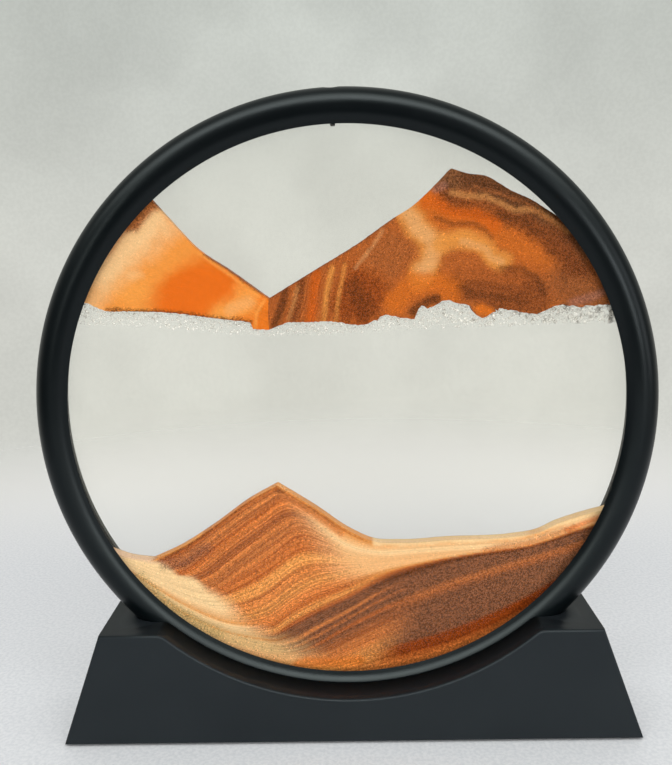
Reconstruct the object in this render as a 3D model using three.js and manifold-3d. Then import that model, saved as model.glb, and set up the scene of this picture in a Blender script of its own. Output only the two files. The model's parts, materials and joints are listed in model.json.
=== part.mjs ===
// Moving sand picture: a round glass cell of water and coloured sand, held in a two-part tube ring
// that turns in the grooved saddle of a moulded stand.
// Millimetres, +Z up, front towards -Y, origin on the table under the middle of the stand.

import * as THREE from 'three';
import { mergeVertices } from 'three/addons/utils/BufferGeometryUtils.js';
import Module from 'manifold-3d';

const wasm = await Module();
wasm.setup();

// Fits: faces beside each other, curved seats, the running gap of the ring in its groove
const faceGap = 0.1;
const fitGap = 0.3;
const grooveGap = 0.3;

// Ring: two half shells of a round tube, joined by a tongue at the seam
const ringRadius = 89;
const tubeDiameter = 11.7;
const ringWall = 1.6;
const lipGap = 0.2;
const rearLipSetback = 2.9;
const seamGap = 0.3;
const tongueWidth = 0.6;
const tongueHeight = 1;

// Glass cell: two panes, a spacer between them and a bead of sealant round their edge
const paneThickness = 2;
const waterGap = 3.6;
const paneEngagement = 5.3;
const paneChamfer = 0.3;
const spacerWidth = 1.9;
const beadHeight = 6.4;

// Filling port: a soft stepped plug through the ring wall, the bead and a break in the spacer
const portAngle = THREE.MathUtils.degToRad(91.4);
const plugTipRadius = 0.6;
const plugStemRadius = 1.2;
const plugBodyRadius = 2;
const plugHeadRadius = 2.4;
const plugHeadHeight = 1.3;
const plugRecess = 0.6;
const plugTipReach = 2.8;

// Stand: a hollow moulding, wider at the foot, with a saddle concentric with the ring
const standHeight = 33.4;
const standWidthBottom = 168;
const standWidthTop = 144;
const standDepthBottom = 31;
const standDepthTop = 29;
const standWall = 2;
const edgeRound = 0.6;
const shoulderRadius = 4;
const ringSink = 7.4;
const ringFloor = 5.7;
const ribThickness = 1.5;
const ribSpacing = 22;
const ribCount = 6;

// Bottom cover with its screws and foot pads
const coverThickness = 2.4;
const coverRecess = 0.2;
const screwInsetX = 19;
const screwSpacingY = 16;
const bossRadius = 3.2;
const screwRadius = 1.4;
const screwLength = 8;
const screwHeadRadius = 2.7;
const screwHeadHeight = 1.2;
const driveSlotLength = 3.2;
const driveSlotWidth = 0.7;
const driveSlotDepth = 0.7;
const padInsetX = 9;
const padSpacingY = 16;
const padRadius = 4.2;
const padThickness = 1.5;
const padSeatDepth = 0.6;

// Facets of round forms, and of each span between two points of a sand line
const ringFacets = 64;
const tubeFacets = 10;
const smallFacets = 16;
const saddleFacets = 28;
const shoulderFacets = 5;
const spanFacets = 2;

// Sizes that follow from the ones above
const tubeRadius = tubeDiameter / 2;
const tubeCentre = ringRadius - tubeRadius;
const hollowRadius = tubeRadius - ringWall;
const cellHalf = waterGap / 2 + paneThickness;
const lipPlane = cellHalf + lipGap;
const lipRadius = tubeCentre - Math.sqrt(tubeRadius ** 2 - lipPlane ** 2);
const rearLipRadius = lipRadius + rearLipSetback;
const hollowShoulder = tubeCentre + Math.sqrt(hollowRadius ** 2 - lipPlane ** 2);
const paneRadius = lipRadius + paneEngagement;
const spacerOuter = paneRadius - fitGap;
const spacerInner = spacerOuter - spacerWidth;
const cellRadius = spacerInner - fitGap;
const fillDepth = waterGap - 2 * faceGap;
const padProud = padThickness + faceGap - padSeatDepth - coverRecess;
const standBottom = padProud;
const standTop = standBottom + standHeight;
const ringHeight = standBottom + ringFloor + ringRadius;
const saddleRadius = ringRadius - ringSink;
const grooveHalf = tubeRadius + grooveGap;
const coverBottom = standBottom + coverRecess;
const coverTop = coverBottom + coverThickness;
const coverSeat = coverTop + fitGap;
const screwX = standWidthBottom / 2 - screwInsetX;
const screwY = screwSpacingY / 2;
const padX = standWidthBottom / 2 - padInsetX;
const padY = padSpacingY / 2;
const corners = [
  { label: 'front_left', x: -1, y: -1 },
  { label: 'front_right', x: 1, y: -1 },
  { label: 'rear_left', x: -1, y: 1 },
  { label: 'rear_right', x: 1, y: 1 },
];

// A closed mesh as a solid, and back
function toSolid(geometry) {
  const bare = geometry.clone();
  bare.deleteAttribute('normal');
  bare.deleteAttribute('uv');
  const merged = mergeVertices(bare);
  const index = merged.index.array;
  const triangles = [];
  for (let i = 0; i < index.length; i += 3) {
    const [a, b, c] = [index[i], index[i + 1], index[i + 2]];
    if (a !== b && b !== c && c !== a) triangles.push(a, b, c);
  }
  const vertProperties = new Float32Array(merged.attributes.position.array);
  const triVerts = new Uint32Array(triangles);
  return new wasm.Manifold(new wasm.Mesh({ numProp: 3, vertProperties, triVerts }));
}

function toGeometry(solid) {
  const mesh = solid.getMesh();
  const geometry = new THREE.BufferGeometry();
  geometry.setAttribute('position', new THREE.BufferAttribute(new Float32Array(mesh.vertProperties), 3));
  geometry.setIndex(new THREE.BufferAttribute(new Uint32Array(mesh.triVerts), 1));
  geometry.computeVertexNormals();
  return geometry;
}

function point(x, y) {
  return new THREE.Vector2(x, y);
}

// Points on a circular arc, both ends included
function arc(x, y, radius, from, to, steps) {
  const points = [];
  for (let i = 0; i <= steps; i += 1) {
    const angle = from + ((to - from) * i) / steps;
    points.push(point(x + radius * Math.cos(angle), y + radius * Math.sin(angle)));
  }
  return points;
}

// A ring round the Y axis from a closed section of (radius, y) points
function ringOf(section, facets = ringFacets) {
  return toSolid(new THREE.LatheGeometry([...section, section[0].clone()], facets));
}

// A round body on the Y axis from an open section that starts and ends on the axis
function turned(section, facets) {
  return toSolid(new THREE.LatheGeometry(section, facets));
}

function cylinderZ(radius, low, high, x, y, facets = smallFacets) {
  const geometry = new THREE.CylinderGeometry(radius, radius, high - low, facets);
  geometry.rotateX(Math.PI / 2);
  geometry.translate(x, y, (low + high) / 2);
  return toSolid(geometry);
}

function box(width, depth, height, x, y, z) {
  const geometry = new THREE.BoxGeometry(width, depth, height);
  geometry.translate(x, y, z);
  return toSolid(geometry);
}

// Turns a body from the Y axis to the filling port's radius
function towardsPort(geometry) {
  geometry.rotateZ(-Math.PI / 2);
  geometry.rotateY(-portAngle);
  return geometry;
}

function portCylinder(radius, from, to) {
  const geometry = new THREE.CylinderGeometry(radius, radius, to - from, smallFacets);
  geometry.translate(0, (from + to) / 2, 0);
  return toSolid(towardsPort(geometry));
}

function portBox(width, depth, from, to) {
  const geometry = new THREE.BoxGeometry(width, to - from, depth);
  geometry.translate(0, (from + to) / 2, 0);
  return toSolid(towardsPort(geometry));
}

function finish(name, color, roughness, metalness = 0, opacity = 1) {
  const transparent = opacity < 1;
  return new THREE.MeshStandardMaterial({ name, color, roughness, metalness, opacity, transparent });
}

function addPiece(group, name, solid, material) {
  const mesh = new THREE.Mesh(toGeometry(solid), material);
  mesh.name = name;
  group.add(mesh);
}

const blackPlastic = () => finish('satin black plastic', 0x1d2022, 0.42);
const underPlastic = () => finish('matt black plastic', 0x1a1b1c, 0.6);
const clearGlass = () => finish('clear glass', 0xeef2ee, 0.04, 0, 0.25);
const water = () => finish('water', 0xd8d6ca, 0.05, 0, 0.3);
const foam = () => finish('air bubbles', 0xe9e8e0, 0.3, 0, 0.7);
const creamSand = () => finish('cream sand', 0xe8bd85, 0.9);
const orangeSand = () => finish('orange sand', 0xc8722f, 0.9);
const stripedSand = () => finish('orange and brown sand', 0xb06a3a, 0.9);
const brownSand = () => finish('brown sand', 0x7c4628, 0.9);
const rustSand = () => finish('rust sand', 0x9a4c1d, 0.9);

// Ring halves. A section is drawn with t, the distance from the seam plane towards its own side.
function tubeArc(endAngle) {
  const start = Math.asin(seamGap / 2 / tubeRadius);
  return arc(tubeCentre, 0, tubeRadius, start, endAngle, tubeFacets);
}

function hollowArc(endDistance) {
  const start = Math.asin(lipPlane / hollowRadius);
  const end = Math.asin(endDistance / hollowRadius);
  return arc(tubeCentre, 0, hollowRadius, start, end, tubeFacets / 2);
}

function frontRingSection() {
  const seam = seamGap / 2;
  const inside = tubeCentre + hollowRadius;
  return [
    ...tubeArc(Math.PI - Math.asin(lipPlane / tubeRadius)),
    ...hollowArc(seam),
    point(inside, -tongueHeight),
    point(inside + tongueWidth, -tongueHeight),
    point(inside + tongueWidth, seam),
  ];
}

function rearRingSection() {
  const seam = seamGap / 2;
  const rebateTop = tongueHeight + fitGap;
  const rebate = tubeCentre + hollowRadius + tongueWidth + faceGap;
  return [
    ...tubeArc(Math.acos((rearLipRadius - tubeCentre) / tubeRadius)),
    point(rearLipRadius, lipPlane),
    ...hollowArc(rebateTop),
    point(rebate, rebateTop),
    point(rebate, seam),
  ];
}

function buildRing(disc) {
  const port = portCylinder(plugHeadRadius + faceGap, hollowShoulder, ringRadius + tubeRadius);
  const front = frontRingSection().map((p) => point(p.x, -p.y)).reverse();
  addPiece(disc, 'front_ring', ringOf(front).subtract(port), blackPlastic());
  addPiece(disc, 'rear_ring', ringOf(rearRingSection()).subtract(port), blackPlastic());
}

// Glass cell, from the front pane to the rear one
function paneSection(low, high) {
  return [
    point(0, low),
    point(paneRadius - paneChamfer, low),
    point(paneRadius, low + paneChamfer),
    point(paneRadius, high - paneChamfer),
    point(paneRadius - paneChamfer, high),
    point(0, high),
  ];
}

function buildCell(disc) {
  const inner = waterGap / 2;
  addPiece(disc, 'front_glass', turned(paneSection(-cellHalf, -inner), ringFacets), clearGlass());
  addPiece(disc, 'rear_glass', turned(paneSection(inner, cellHalf), ringFacets), clearGlass());

  const half = fillDepth / 2;
  const spacer = ringOf([
    point(spacerInner, -half),
    point(spacerOuter, -half),
    point(spacerOuter, half),
    point(spacerInner, half),
  ]);
  const gate = portBox(2 * (plugStemRadius + fitGap), waterGap, spacerInner - fitGap, spacerOuter + fitGap);
  addPiece(disc, 'spacer_strip', spacer.subtract(gate), finish('black spacer', 0x242626, 0.6));

  const beadInner = paneRadius + fitGap;
  const beadRadius = hollowRadius - fitGap;
  const beadAngle = Math.asin(beadHeight / 2 / beadRadius);
  const bead = ringOf([
    point(beadInner, -beadHeight / 2),
    ...arc(tubeCentre, 0, beadRadius, -beadAngle, beadAngle, tubeFacets / 2),
    point(beadInner, beadHeight / 2),
  ]);
  const beadHole = portCylinder(plugBodyRadius + fitGap, paneRadius, ringRadius);
  addPiece(disc, 'edge_sealant', bead.subtract(beadHole), finish('black sealant', 0x161616, 0.7));
}

function buildPlug(disc) {
  const head = ringRadius - plugRecess;
  const bodyStart = paneRadius + fitGap;
  const bodyEnd = head - plugHeadHeight;
  const section = [
    point(0, lipRadius),
    point(plugTipRadius, lipRadius),
    point(plugStemRadius, lipRadius + plugTipReach),
    point(plugStemRadius, bodyStart),
    point(plugBodyRadius, bodyStart),
    point(plugBodyRadius, bodyEnd),
    point(plugHeadRadius, bodyEnd),
    point(plugHeadRadius, head),
    point(0, head),
  ];
  const plug = toSolid(towardsPort(new THREE.LatheGeometry(section, smallFacets)));
  addPiece(disc, 'fill_plug', plug, finish('black silicone', 0x121212, 0.65));
}

// Sand, bubbles and water. Outlines are shares of the cell's radius, x to the right and z up,
// because what settles in the cell fills it whatever its size.
const beyond = 1.3;

function trace(shares) {
  return shares.map(([x, z]) => point(x, z));
}

function smooth(shares) {
  return new THREE.SplineCurve(trace(shares)).getPoints(spanFacets * (shares.length - 1));
}

// Lower dune: crest line from left to right, then the lines that part the coloured beds
const duneFoot = [-0.712, -0.536];
const dunePeak = [-0.25, -0.26];
const duneEnd = [0.002, -0.435];
const bodyTip = [0.2, -0.575];
const crestLeft = smooth([[-beyond, -0.43], [-0.867, -0.497], [-0.795, -0.524], duneFoot]);
const duneLeft = smooth([duneFoot, [-0.608, -0.488], [-0.482, -0.409], [-0.356, -0.318], dunePeak]);
const duneRight = smooth([dunePeak, [-0.116, -0.348], duneEnd]);
const crestRight = smooth([
  duneEnd, [0.087, -0.476], [0.191, -0.485], [0.36, -0.476], [0.594, -0.468], [0.684, -0.452],
  [0.748, -0.421], [0.812, -0.399], [0.921, -0.369], [beyond, -0.27],
]);
const footLine = smooth([duneFoot, [-0.545, -0.627], [-0.388, -0.723], [-0.29, -0.82], [-0.22, -beyond]]);
const neckLine = smooth([duneEnd, [0.1, -0.52], bodyTip]);
const bodyLineHigh = smooth([
  [beyond, -0.31], [0.92, -0.41], [0.82, -0.447], [0.643, -0.504], [0.52, -0.52], [0.3, -0.553], bodyTip,
]);
const bodyLineLow = smooth([bodyTip, [0.06, -0.68], [-0.04, -0.8], [-0.1, -0.9], [-0.12, -beyond]]);
const rimLine = smooth([
  [beyond, -0.35], [0.88, -0.56], [0.675, -0.686], [0.512, -0.757], [0.344, -0.838], [0.05, -beyond],
]);

// Upper heaps, held up by the bubbles: their slopes, undersides and the line under the dark crown
const valley = [-0.255, 0.403];
const valleyFoot = [-0.257, 0.296];
const crownFoot = [0.237, 0.7];
const crownTop = [0.365, 0.819];
const slopeLeft = smooth([
  [-0.9, 1], [-0.629, 0.731], [-0.573, 0.665], [-0.502, 0.585], [-0.383, 0.5], valley,
]);
const slopeRight = smooth([
  valley, [-0.094, 0.496], [0.054, 0.582], [0.176, 0.663], crownFoot, [0.299, 0.753], crownTop,
]);
const crownSlope = smooth([
  crownTop, [0.419, 0.802], [0.479, 0.792], [0.569, 0.741], [0.63, 0.712], [0.704, 0.666], [beyond, 0.45],
]);
const heapPart = trace([valley, [-0.26, 0.349], valleyFoot]);
const stripFoot = trace([valleyFoot, [-0.311, 0.299]]);
const undersideLeft = [
  ...stripFoot,
  ...smooth([
    [-0.321, 0.323], [-0.472, 0.344], [-0.589, 0.361], [-0.82, 0.375], [-0.882, 0.401], [-1.02, 0.405],
  ]),
];
const undersideRight = smooth([
  valleyFoot, [-0.196, 0.318], [-0.048, 0.321], [0.048, 0.307], [0.138, 0.338], [0.24, 0.321], [0.255, 0.355],
  [0.349, 0.384], [0.431, 0.362], [0.453, 0.333], [0.49, 0.326], [0.52, 0.348], [0.57, 0.346], [0.657, 0.333],
  [0.733, 0.36], [0.902, 0.36], [1.02, 0.36],
]);
const crownLine = smooth([crownFoot, [0.36, 0.67], [0.52, 0.6], [0.7, 0.5], [0.86, 0.41], [beyond, 0.37]]);
const bubbleLow = smooth([
  [-1.02, 0.332], [-0.916, 0.33], [-0.667, 0.316], [-0.302, 0.279], [-0.048, 0.277], [0.192, 0.288],
  [0.67, 0.297], [1.02, 0.302],
]);

// Joins lines end to end into one outline, leaving out the points that two lines share
const samePoint = 1e-6;

function outline(...lines) {
  const points = [];
  for (const p of lines.flat()) {
    const last = points.at(-1);
    if (!last || last.distanceTo(p) > samePoint) points.push(p);
  }
  if (points[0].distanceTo(points.at(-1)) < samePoint) points.pop();
  return points;
}

// Draws an outline in by a distance, each corner along the bisector of its two sides. A corner that turns
// more sharply than the limit is drawn in no further than one at the limit.
const sharpestHalfTurn = THREE.MathUtils.degToRad(70);

function drawnIn(points, distance) {
  const turn = THREE.ShapeUtils.isClockWise(points) ? -1 : 1;
  return points.map((p, i) => {
    const before = points.at(i - 1);
    const after = points[(i + 1) % points.length];
    const a = p.clone().sub(before).normalize();
    const b = after.clone().sub(p).normalize();
    const bisector = point(-(a.y + b.y), a.x + b.x).multiplyScalar(turn).normalize();
    const side = point(-a.y, a.x).multiplyScalar(turn);
    const stretch = Math.max(bisector.dot(side), Math.cos(sharpestHalfTurn));
    return p.clone().addScaledVector(bisector, distance / stretch);
  });
}

// A bed of sand, water or foam: an outline through the cell's depth, cut round by the cell
function bed(...lines) {
  const points = outline(...lines).map((p) => p.clone().multiplyScalar(cellRadius));
  const shape = new THREE.Shape(drawnIn(points, fitGap / 2));
  const geometry = new THREE.ExtrudeGeometry(shape, { depth: fillDepth, bevelEnabled: false });
  geometry.rotateX(Math.PI / 2);
  geometry.translate(0, fillDepth / 2, 0);
  const round = new THREE.CylinderGeometry(cellRadius, cellRadius, 2 * fillDepth, ringFacets);
  return toSolid(geometry).intersect(toSolid(round));
}

const back = (line) => [...line].reverse();

function buildSand(disc) {
  const lowLeft = trace([[-beyond, -beyond]]);
  const lowRight = trace([[beyond, -beyond]]);
  const foot = bed(crestLeft, footLine, lowLeft);
  const dune = bed(duneLeft, duneRight, neckLine, bodyLineLow, back(footLine));
  const crest = bed(crestRight, bodyLineHigh, back(neckLine));
  const body = bed(back(bodyLineLow), back(bodyLineHigh), rimLine);
  const rim = bed(rimLine, lowRight);
  addPiece(disc, 'lower_sand_foot', foot, creamSand());
  addPiece(disc, 'lower_sand_dune', dune, stripedSand());
  addPiece(disc, 'lower_sand_crest', crest, creamSand());
  addPiece(disc, 'lower_sand_body', body, brownSand());
  addPiece(disc, 'lower_sand_rim', rim, rustSand());

  const crownStart = slopeRight.findIndex((p) => p.x > crownLine[0].x);
  const slopeBelow = [...slopeRight.slice(0, crownStart), crownLine[0]];
  const slopeAbove = [crownLine[0], ...slopeRight.slice(crownStart)];
  const left = bed(slopeLeft, heapPart, undersideLeft);
  const core = bed(slopeBelow, crownLine, back(undersideRight), back(heapPart));
  const crown = bed(slopeAbove, crownSlope, back(crownLine));
  addPiece(disc, 'upper_sand_left', left, orangeSand());
  addPiece(disc, 'upper_sand_right', core, orangeSand());
  addPiece(disc, 'upper_sand_crown', crown, brownSand());
}

function buildWater(disc) {
  const high = trace([[beyond, beyond], [-beyond, beyond]]);
  const upper = bed(slopeLeft, slopeRight, crownSlope, high);
  const notch = portBox(2 * (plugStemRadius + fitGap), waterGap, lipRadius - fitGap, ringRadius);
  addPiece(disc, 'upper_water', upper.subtract(notch), water());

  const bubbles = bed(back(undersideLeft), undersideRight, back(bubbleLow));
  addPiece(disc, 'bubble_layer', bubbles, foam());

  const lower = bed(bubbleLow, back(crestRight), back(duneRight), back(duneLeft), back(crestLeft));
  addPiece(disc, 'lower_water', lower, water());
}

// Stand. The outline of its front, drawn in by a wall for the hollow, with the saddle's shoulders rounded.
const sideSlope = (standWidthBottom - standWidthTop) / 2 / standHeight;
const sideStretch = Math.sqrt(1 + sideSlope ** 2);

function sideX(z, inset) {
  return standWidthBottom / 2 - sideSlope * (z - standBottom) - inset * sideStretch;
}

function saddleOutline(inset, foot) {
  const round = shoulderRadius - inset;
  const reach = saddleRadius + shoulderRadius;
  const shoulderZ = standTop - shoulderRadius;
  const shoulderX = Math.sqrt(reach ** 2 - (ringHeight - shoulderZ) ** 2);
  const lean = Math.atan2(ringHeight - shoulderZ, shoulderX);
  const saddle = arc(0, ringHeight, saddleRadius + inset, -lean, lean - Math.PI, saddleFacets);
  return [
    point(-sideX(foot, inset), foot),
    point(sideX(foot, inset), foot),
    point(sideX(standTop - inset, inset), standTop - inset),
    ...arc(shoulderX, shoulderZ, round, Math.PI / 2, Math.PI - lean, shoulderFacets),
    ...saddle.slice(1, -1),
    ...arc(-shoulderX, shoulderZ, round, lean, Math.PI / 2, shoulderFacets),
    point(-sideX(standTop - inset, inset), standTop - inset),
  ];
}

function plainOutline(inset, low, high) {
  return [
    point(-sideX(low, inset), low),
    point(sideX(low, inset), low),
    point(sideX(high, inset), high),
    point(-sideX(high, inset), high),
  ];
}

// Extrudes a front outline to the stand's depth less the inset, thicker towards the foot
function standBlock(points, inset, round) {
  const depth = standDepthTop - 2 * inset;
  const geometry = new THREE.ExtrudeGeometry(new THREE.Shape(points), {
    depth: depth - 2 * round,
    bevelEnabled: round > 0,
    bevelSize: round,
    bevelThickness: round,
    bevelOffset: -round,
    bevelSegments: 2,
  });
  geometry.rotateX(Math.PI / 2);
  geometry.translate(0, depth / 2 - round, 0);
  const place = geometry.attributes.position;
  for (let i = 0; i < place.count; i += 1) {
    const drop = (standTop - place.getZ(i)) / standHeight;
    const growth = (drop * (standDepthBottom - standDepthTop)) / 2;
    place.setY(i, place.getY(i) * (1 + growth / (depth / 2)));
  }
  return toSolid(geometry);
}

// The groove is a U in section, so the ring lifts out of it; the wall under it is the same U, larger
function grooveRing(half) {
  const mouth = saddleRadius - tubeDiameter;
  const floor = arc(tubeCentre, 0, half, -Math.PI / 2, Math.PI / 2, tubeFacets);
  const section = [point(mouth, -half), ...floor, point(mouth, half)];
  return ringOf(section, ringFacets).translate([0, 0, ringHeight]);
}

function buildStand(base) {
  const below = -standHeight;
  let hollow = standBlock(saddleOutline(standWall, below), standWall, 0);
  hollow = hollow.subtract(grooveRing(grooveHalf + standWall));
  for (let i = 0; i < ribCount; i += 1) {
    const x = (i - (ribCount - 1) / 2) * ribSpacing;
    const rib = box(ribThickness, standDepthBottom, standHeight, x, 0, coverSeat + standHeight / 2);
    hollow = hollow.subtract(rib);
  }
  for (const corner of corners) {
    const [x, y] = [corner.x * screwX, corner.y * screwY];
    hollow = hollow.subtract(cylinderZ(bossRadius, coverSeat, standTop, x, y));
  }
  let shell = standBlock(saddleOutline(0, standBottom), 0, edgeRound);
  shell = shell.subtract(grooveRing(grooveHalf)).subtract(hollow);
  const pilotEnd = coverBottom + screwHeadHeight + faceGap + screwLength + fitGap;
  for (const corner of corners) {
    const [x, y] = [corner.x * screwX, corner.y * screwY];
    shell = shell.subtract(cylinderZ(screwRadius + faceGap, 0, pilotEnd, x, y));
  }
  addPiece(base, 'stand_shell', shell, blackPlastic());
}

function buildCover(base) {
  const inset = standWall + fitGap;
  let cover = standBlock(plainOutline(inset, coverBottom, coverTop), inset, 0);
  const headSeat = coverBottom + screwHeadHeight + faceGap;
  for (const corner of corners) {
    const [x, y] = [corner.x * screwX, corner.y * screwY];
    cover = cover.subtract(cylinderZ(screwHeadRadius + fitGap, 0, headSeat, x, y));
    cover = cover.subtract(cylinderZ(screwRadius + fitGap, 0, coverSeat, x, y));
    const [px, py] = [corner.x * padX, corner.y * padY];
    cover = cover.subtract(cylinderZ(padRadius + fitGap, 0, coverBottom + padSeatDepth, px, py));
  }
  addPiece(base, 'bottom_cover', cover, underPlastic());
}

// Screws point up, with a crossed drive in the underside of the head
function buildScrew(base, corner) {
  const length = screwHeadHeight + screwLength;
  const geometry = new THREE.LatheGeometry([
    point(0, 0),
    point(screwHeadRadius - edgeRound / 2, 0),
    point(screwHeadRadius, edgeRound / 2),
    point(screwHeadRadius, screwHeadHeight),
    point(screwRadius, screwHeadHeight),
    point(screwRadius, length - screwRadius),
    point(0, length),
  ], smallFacets);
  geometry.rotateX(Math.PI / 2);
  const slot = box(driveSlotLength, driveSlotWidth, 2 * driveSlotDepth, 0, 0, 0);
  const cross = slot.add(box(driveSlotWidth, driveSlotLength, 2 * driveSlotDepth, 0, 0, 0));
  const screw = toSolid(geometry).subtract(cross);
  const place = [corner.x * screwX, corner.y * screwY, coverBottom];
  const zinc = finish('zinc steel', 0xa9abad, 0.35, 0.9);
  addPiece(base, `cover_screw_${corner.label}`, screw.translate(place), zinc);
}

function buildPad(base, corner) {
  const pad = cylinderZ(padRadius, 0, padThickness, corner.x * padX, corner.y * padY);
  addPiece(base, `foot_pad_${corner.label}`, pad, finish('black foam rubber', 0x19191a, 0.95));
}

const base = new THREE.Group();
buildStand(base);
buildCover(base);
for (const corner of corners) {
  buildScrew(base, corner);
  buildPad(base, corner);
}

const disc = new THREE.Group();
disc.position.set(0, 0, ringHeight);
buildRing(disc);
buildCell(disc);
buildPlug(disc);
buildSand(disc);
buildWater(disc);

const sandPicture = new THREE.Group();
sandPicture.add(base, disc);

export default sandPicture;
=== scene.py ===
# %% [markdown]
# # A moving sand picture
# A round glass cell holds water, trapped air and coloured sand. A black tube ring frames the cell and turns
# in the grooved saddle of a black stand. The CAD frame brings every piece at its real size and place.
# This lesson gives the pieces their looks: it replaces what has to be smooth or grainy with finer meshes,
# and leaves the CAD piece where only its finish was missing.

# %% Load the frame
import json
import math

import bmesh
import bpy
import numpy as np
from mathutils import Matrix, Vector, noise
from mathutils.geometry import delaunay_2d_cdt


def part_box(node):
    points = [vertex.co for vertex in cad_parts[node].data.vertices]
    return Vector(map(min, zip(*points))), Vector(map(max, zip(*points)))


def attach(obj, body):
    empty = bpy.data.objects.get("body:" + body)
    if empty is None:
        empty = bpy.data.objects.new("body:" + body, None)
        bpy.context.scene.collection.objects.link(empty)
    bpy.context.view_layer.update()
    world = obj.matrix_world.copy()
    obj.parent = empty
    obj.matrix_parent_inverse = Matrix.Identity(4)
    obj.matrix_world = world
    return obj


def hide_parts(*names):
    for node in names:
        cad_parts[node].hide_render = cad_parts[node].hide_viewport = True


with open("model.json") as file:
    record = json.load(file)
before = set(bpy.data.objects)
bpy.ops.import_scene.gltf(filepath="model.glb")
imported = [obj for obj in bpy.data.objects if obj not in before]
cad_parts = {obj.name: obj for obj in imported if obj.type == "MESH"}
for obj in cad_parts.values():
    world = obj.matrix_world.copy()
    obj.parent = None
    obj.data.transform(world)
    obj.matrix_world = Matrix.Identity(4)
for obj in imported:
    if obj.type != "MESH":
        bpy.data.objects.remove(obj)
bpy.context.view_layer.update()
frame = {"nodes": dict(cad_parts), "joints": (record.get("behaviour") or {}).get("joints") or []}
scene = bpy.context.scene
scene.view_settings.view_transform = "Standard"
MM = 0.001
centre = Vector(frame["joints"][0]["pos_m"])

# %% [markdown]
# ## Camera
# The picture was taken from close by, 5 cm above the ring's centre and looking slightly down.
# A camera could be aimed by a constraint, but a fixed place with yaw, pitch and roll is plain to read and
# stays exact. The focal length is kept in pixels of a 672 by 765 picture, because that is how it was found.

# %% Camera
picture_width, picture_height = 672, 765
focal_pixels = 790
nearest_seen = 0.01
camera_from_centre = Vector((1.36, -222.47, 48.33)) * MM
camera_yaw, camera_pitch, camera_roll = 0.0179, 0.1774, 0.0230


def put(name, data):
    """Links new data into the scene, as an object at the origin."""
    made = bpy.data.objects.new(name, data)
    scene.collection.objects.link(made)
    return made


camera = put("camera", bpy.data.cameras.new("camera"))
scene.camera = camera
camera.data.lens = focal_pixels * camera.data.sensor_width / max(picture_width, picture_height)
camera.data.clip_start = nearest_seen
camera.matrix_world = (
    Matrix.Translation(centre + camera_from_centre)
    @ Matrix.Rotation(camera_yaw, 4, "Z")
    @ Matrix.Rotation(math.pi / 2 - camera_pitch, 4, "X")
    @ Matrix.Rotation(-camera_roll, 4, "Z")
)
camera_place = [round(x, 3) for x in camera.matrix_world.translation]
print("camera: lens", round(camera.data.lens, 2), "mm at", camera_place)

# %% [markdown]
# ## Node trees as expressions
# Finishes and patterns are node trees, and a tree wired one node at a time is hard to read. One small class
# wraps an output socket: arithmetic on it adds Math nodes, and one method adds any other node. It serves
# shader trees and geometry trees alike.


# %% Sockets with arithmetic
class Wire:
    """An output socket of a node tree. Arithmetic on it adds Math nodes to that tree."""

    def __init__(self, tree, socket=None):
        self.tree = tree
        self.socket = socket

    def node(self, kind, settings=None, inputs=None, out=0):
        """Adds a node from its type, settings and the values or links of its sockets; gives one output."""
        made = self.tree.nodes.new(kind)
        for name, value in (settings or {}).items():
            setattr(made, name, value)
        for key, value in (inputs or {}).items():
            if isinstance(value, Wire):
                self.tree.links.new(value.socket, made.inputs[key])
            else:
                made.inputs[key].default_value = value
        return Wire(self.tree, made.outputs[out] if made.outputs else None)

    def also(self, out):
        """Another output of the same node."""
        return Wire(self.tree, self.socket.node.outputs[out])

    def maths(self, operation, *values):
        return self.node("ShaderNodeMath", {"operation": operation}, dict(enumerate(values)))

    def span(self, low, high, to_low=0.0, to_high=1.0):
        """This value's stretch from low to high, eased onto another stretch."""
        ends = {1: low, 2: high, 3: to_low, 4: to_high}
        return self.node("ShaderNodeMapRange", {"interpolation_type": "SMOOTHSTEP"}, {0: self, **ends})

    def mix(self, low, high):
        """Two colours, mixed by this value."""
        return self.node("ShaderNodeMix", {"data_type": "RGBA"}, {0: self, 6: low, 7: high}, 2)

    def tinted(self, by):
        """This colour, multiplied by another."""
        settings = {"data_type": "RGBA", "blend_type": "MULTIPLY"}
        return self.node("ShaderNodeMix", settings, {0: 1.0, 6: self, 7: by}, 2)

    def times(self, factor):
        """This colour or vector, scaled by a value."""
        return self.node("ShaderNodeVectorMath", {"operation": "SCALE"}, {0: self, "Scale": factor})

    def __add__(self, other):
        return self.maths("ADD", self, other)

    def __sub__(self, other):
        return self.maths("SUBTRACT", self, other)

    def __rsub__(self, other):
        return self.maths("SUBTRACT", other, self)

    def __mul__(self, other):
        return self.maths("MULTIPLY", self, other)

    __radd__ = __add__
    __rmul__ = __mul__


def colour(code):
    """The linear colour of a web code such as f5d296."""
    shares = [int(code[i:i + 2], 16) / 255 for i in (0, 2, 4)]
    return (*[((s + 0.055) / 1.055) ** 2.4 if s > 0.04 else s / 12.92 for s in shares], 1.0)


# %% [markdown]
# A few nodes come back in nearly every finish: the place on the piece, clouds over it, a relief, a value that
# the mesh keeps, and two shaders mixed by a mask. Each gets a short name here.


# %% Finishes in few words
def finish(name, draw):
    """A material: draw adds its nodes and gives back its shader."""
    material = bpy.data.materials.new(name)
    material.use_nodes = True
    material.node_tree.nodes.clear()
    start = Wire(material.node_tree)
    start.node("ShaderNodeOutputMaterial", None, {"Surface": draw(start)})
    print("finish:", name, "with", len(material.node_tree.nodes), "nodes")
    return material


def principled(start, **sockets):
    """A Principled shader; base_color stands for the socket Base Color, and so on."""
    named = {"ior": "IOR", "specular_ior_level": "Specular IOR Level"}
    inputs = {named.get(key, key.replace("_", " ").title()): value for key, value in sockets.items()}
    return start.node("ShaderNodeBsdfPrincipled", None, inputs)


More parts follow.
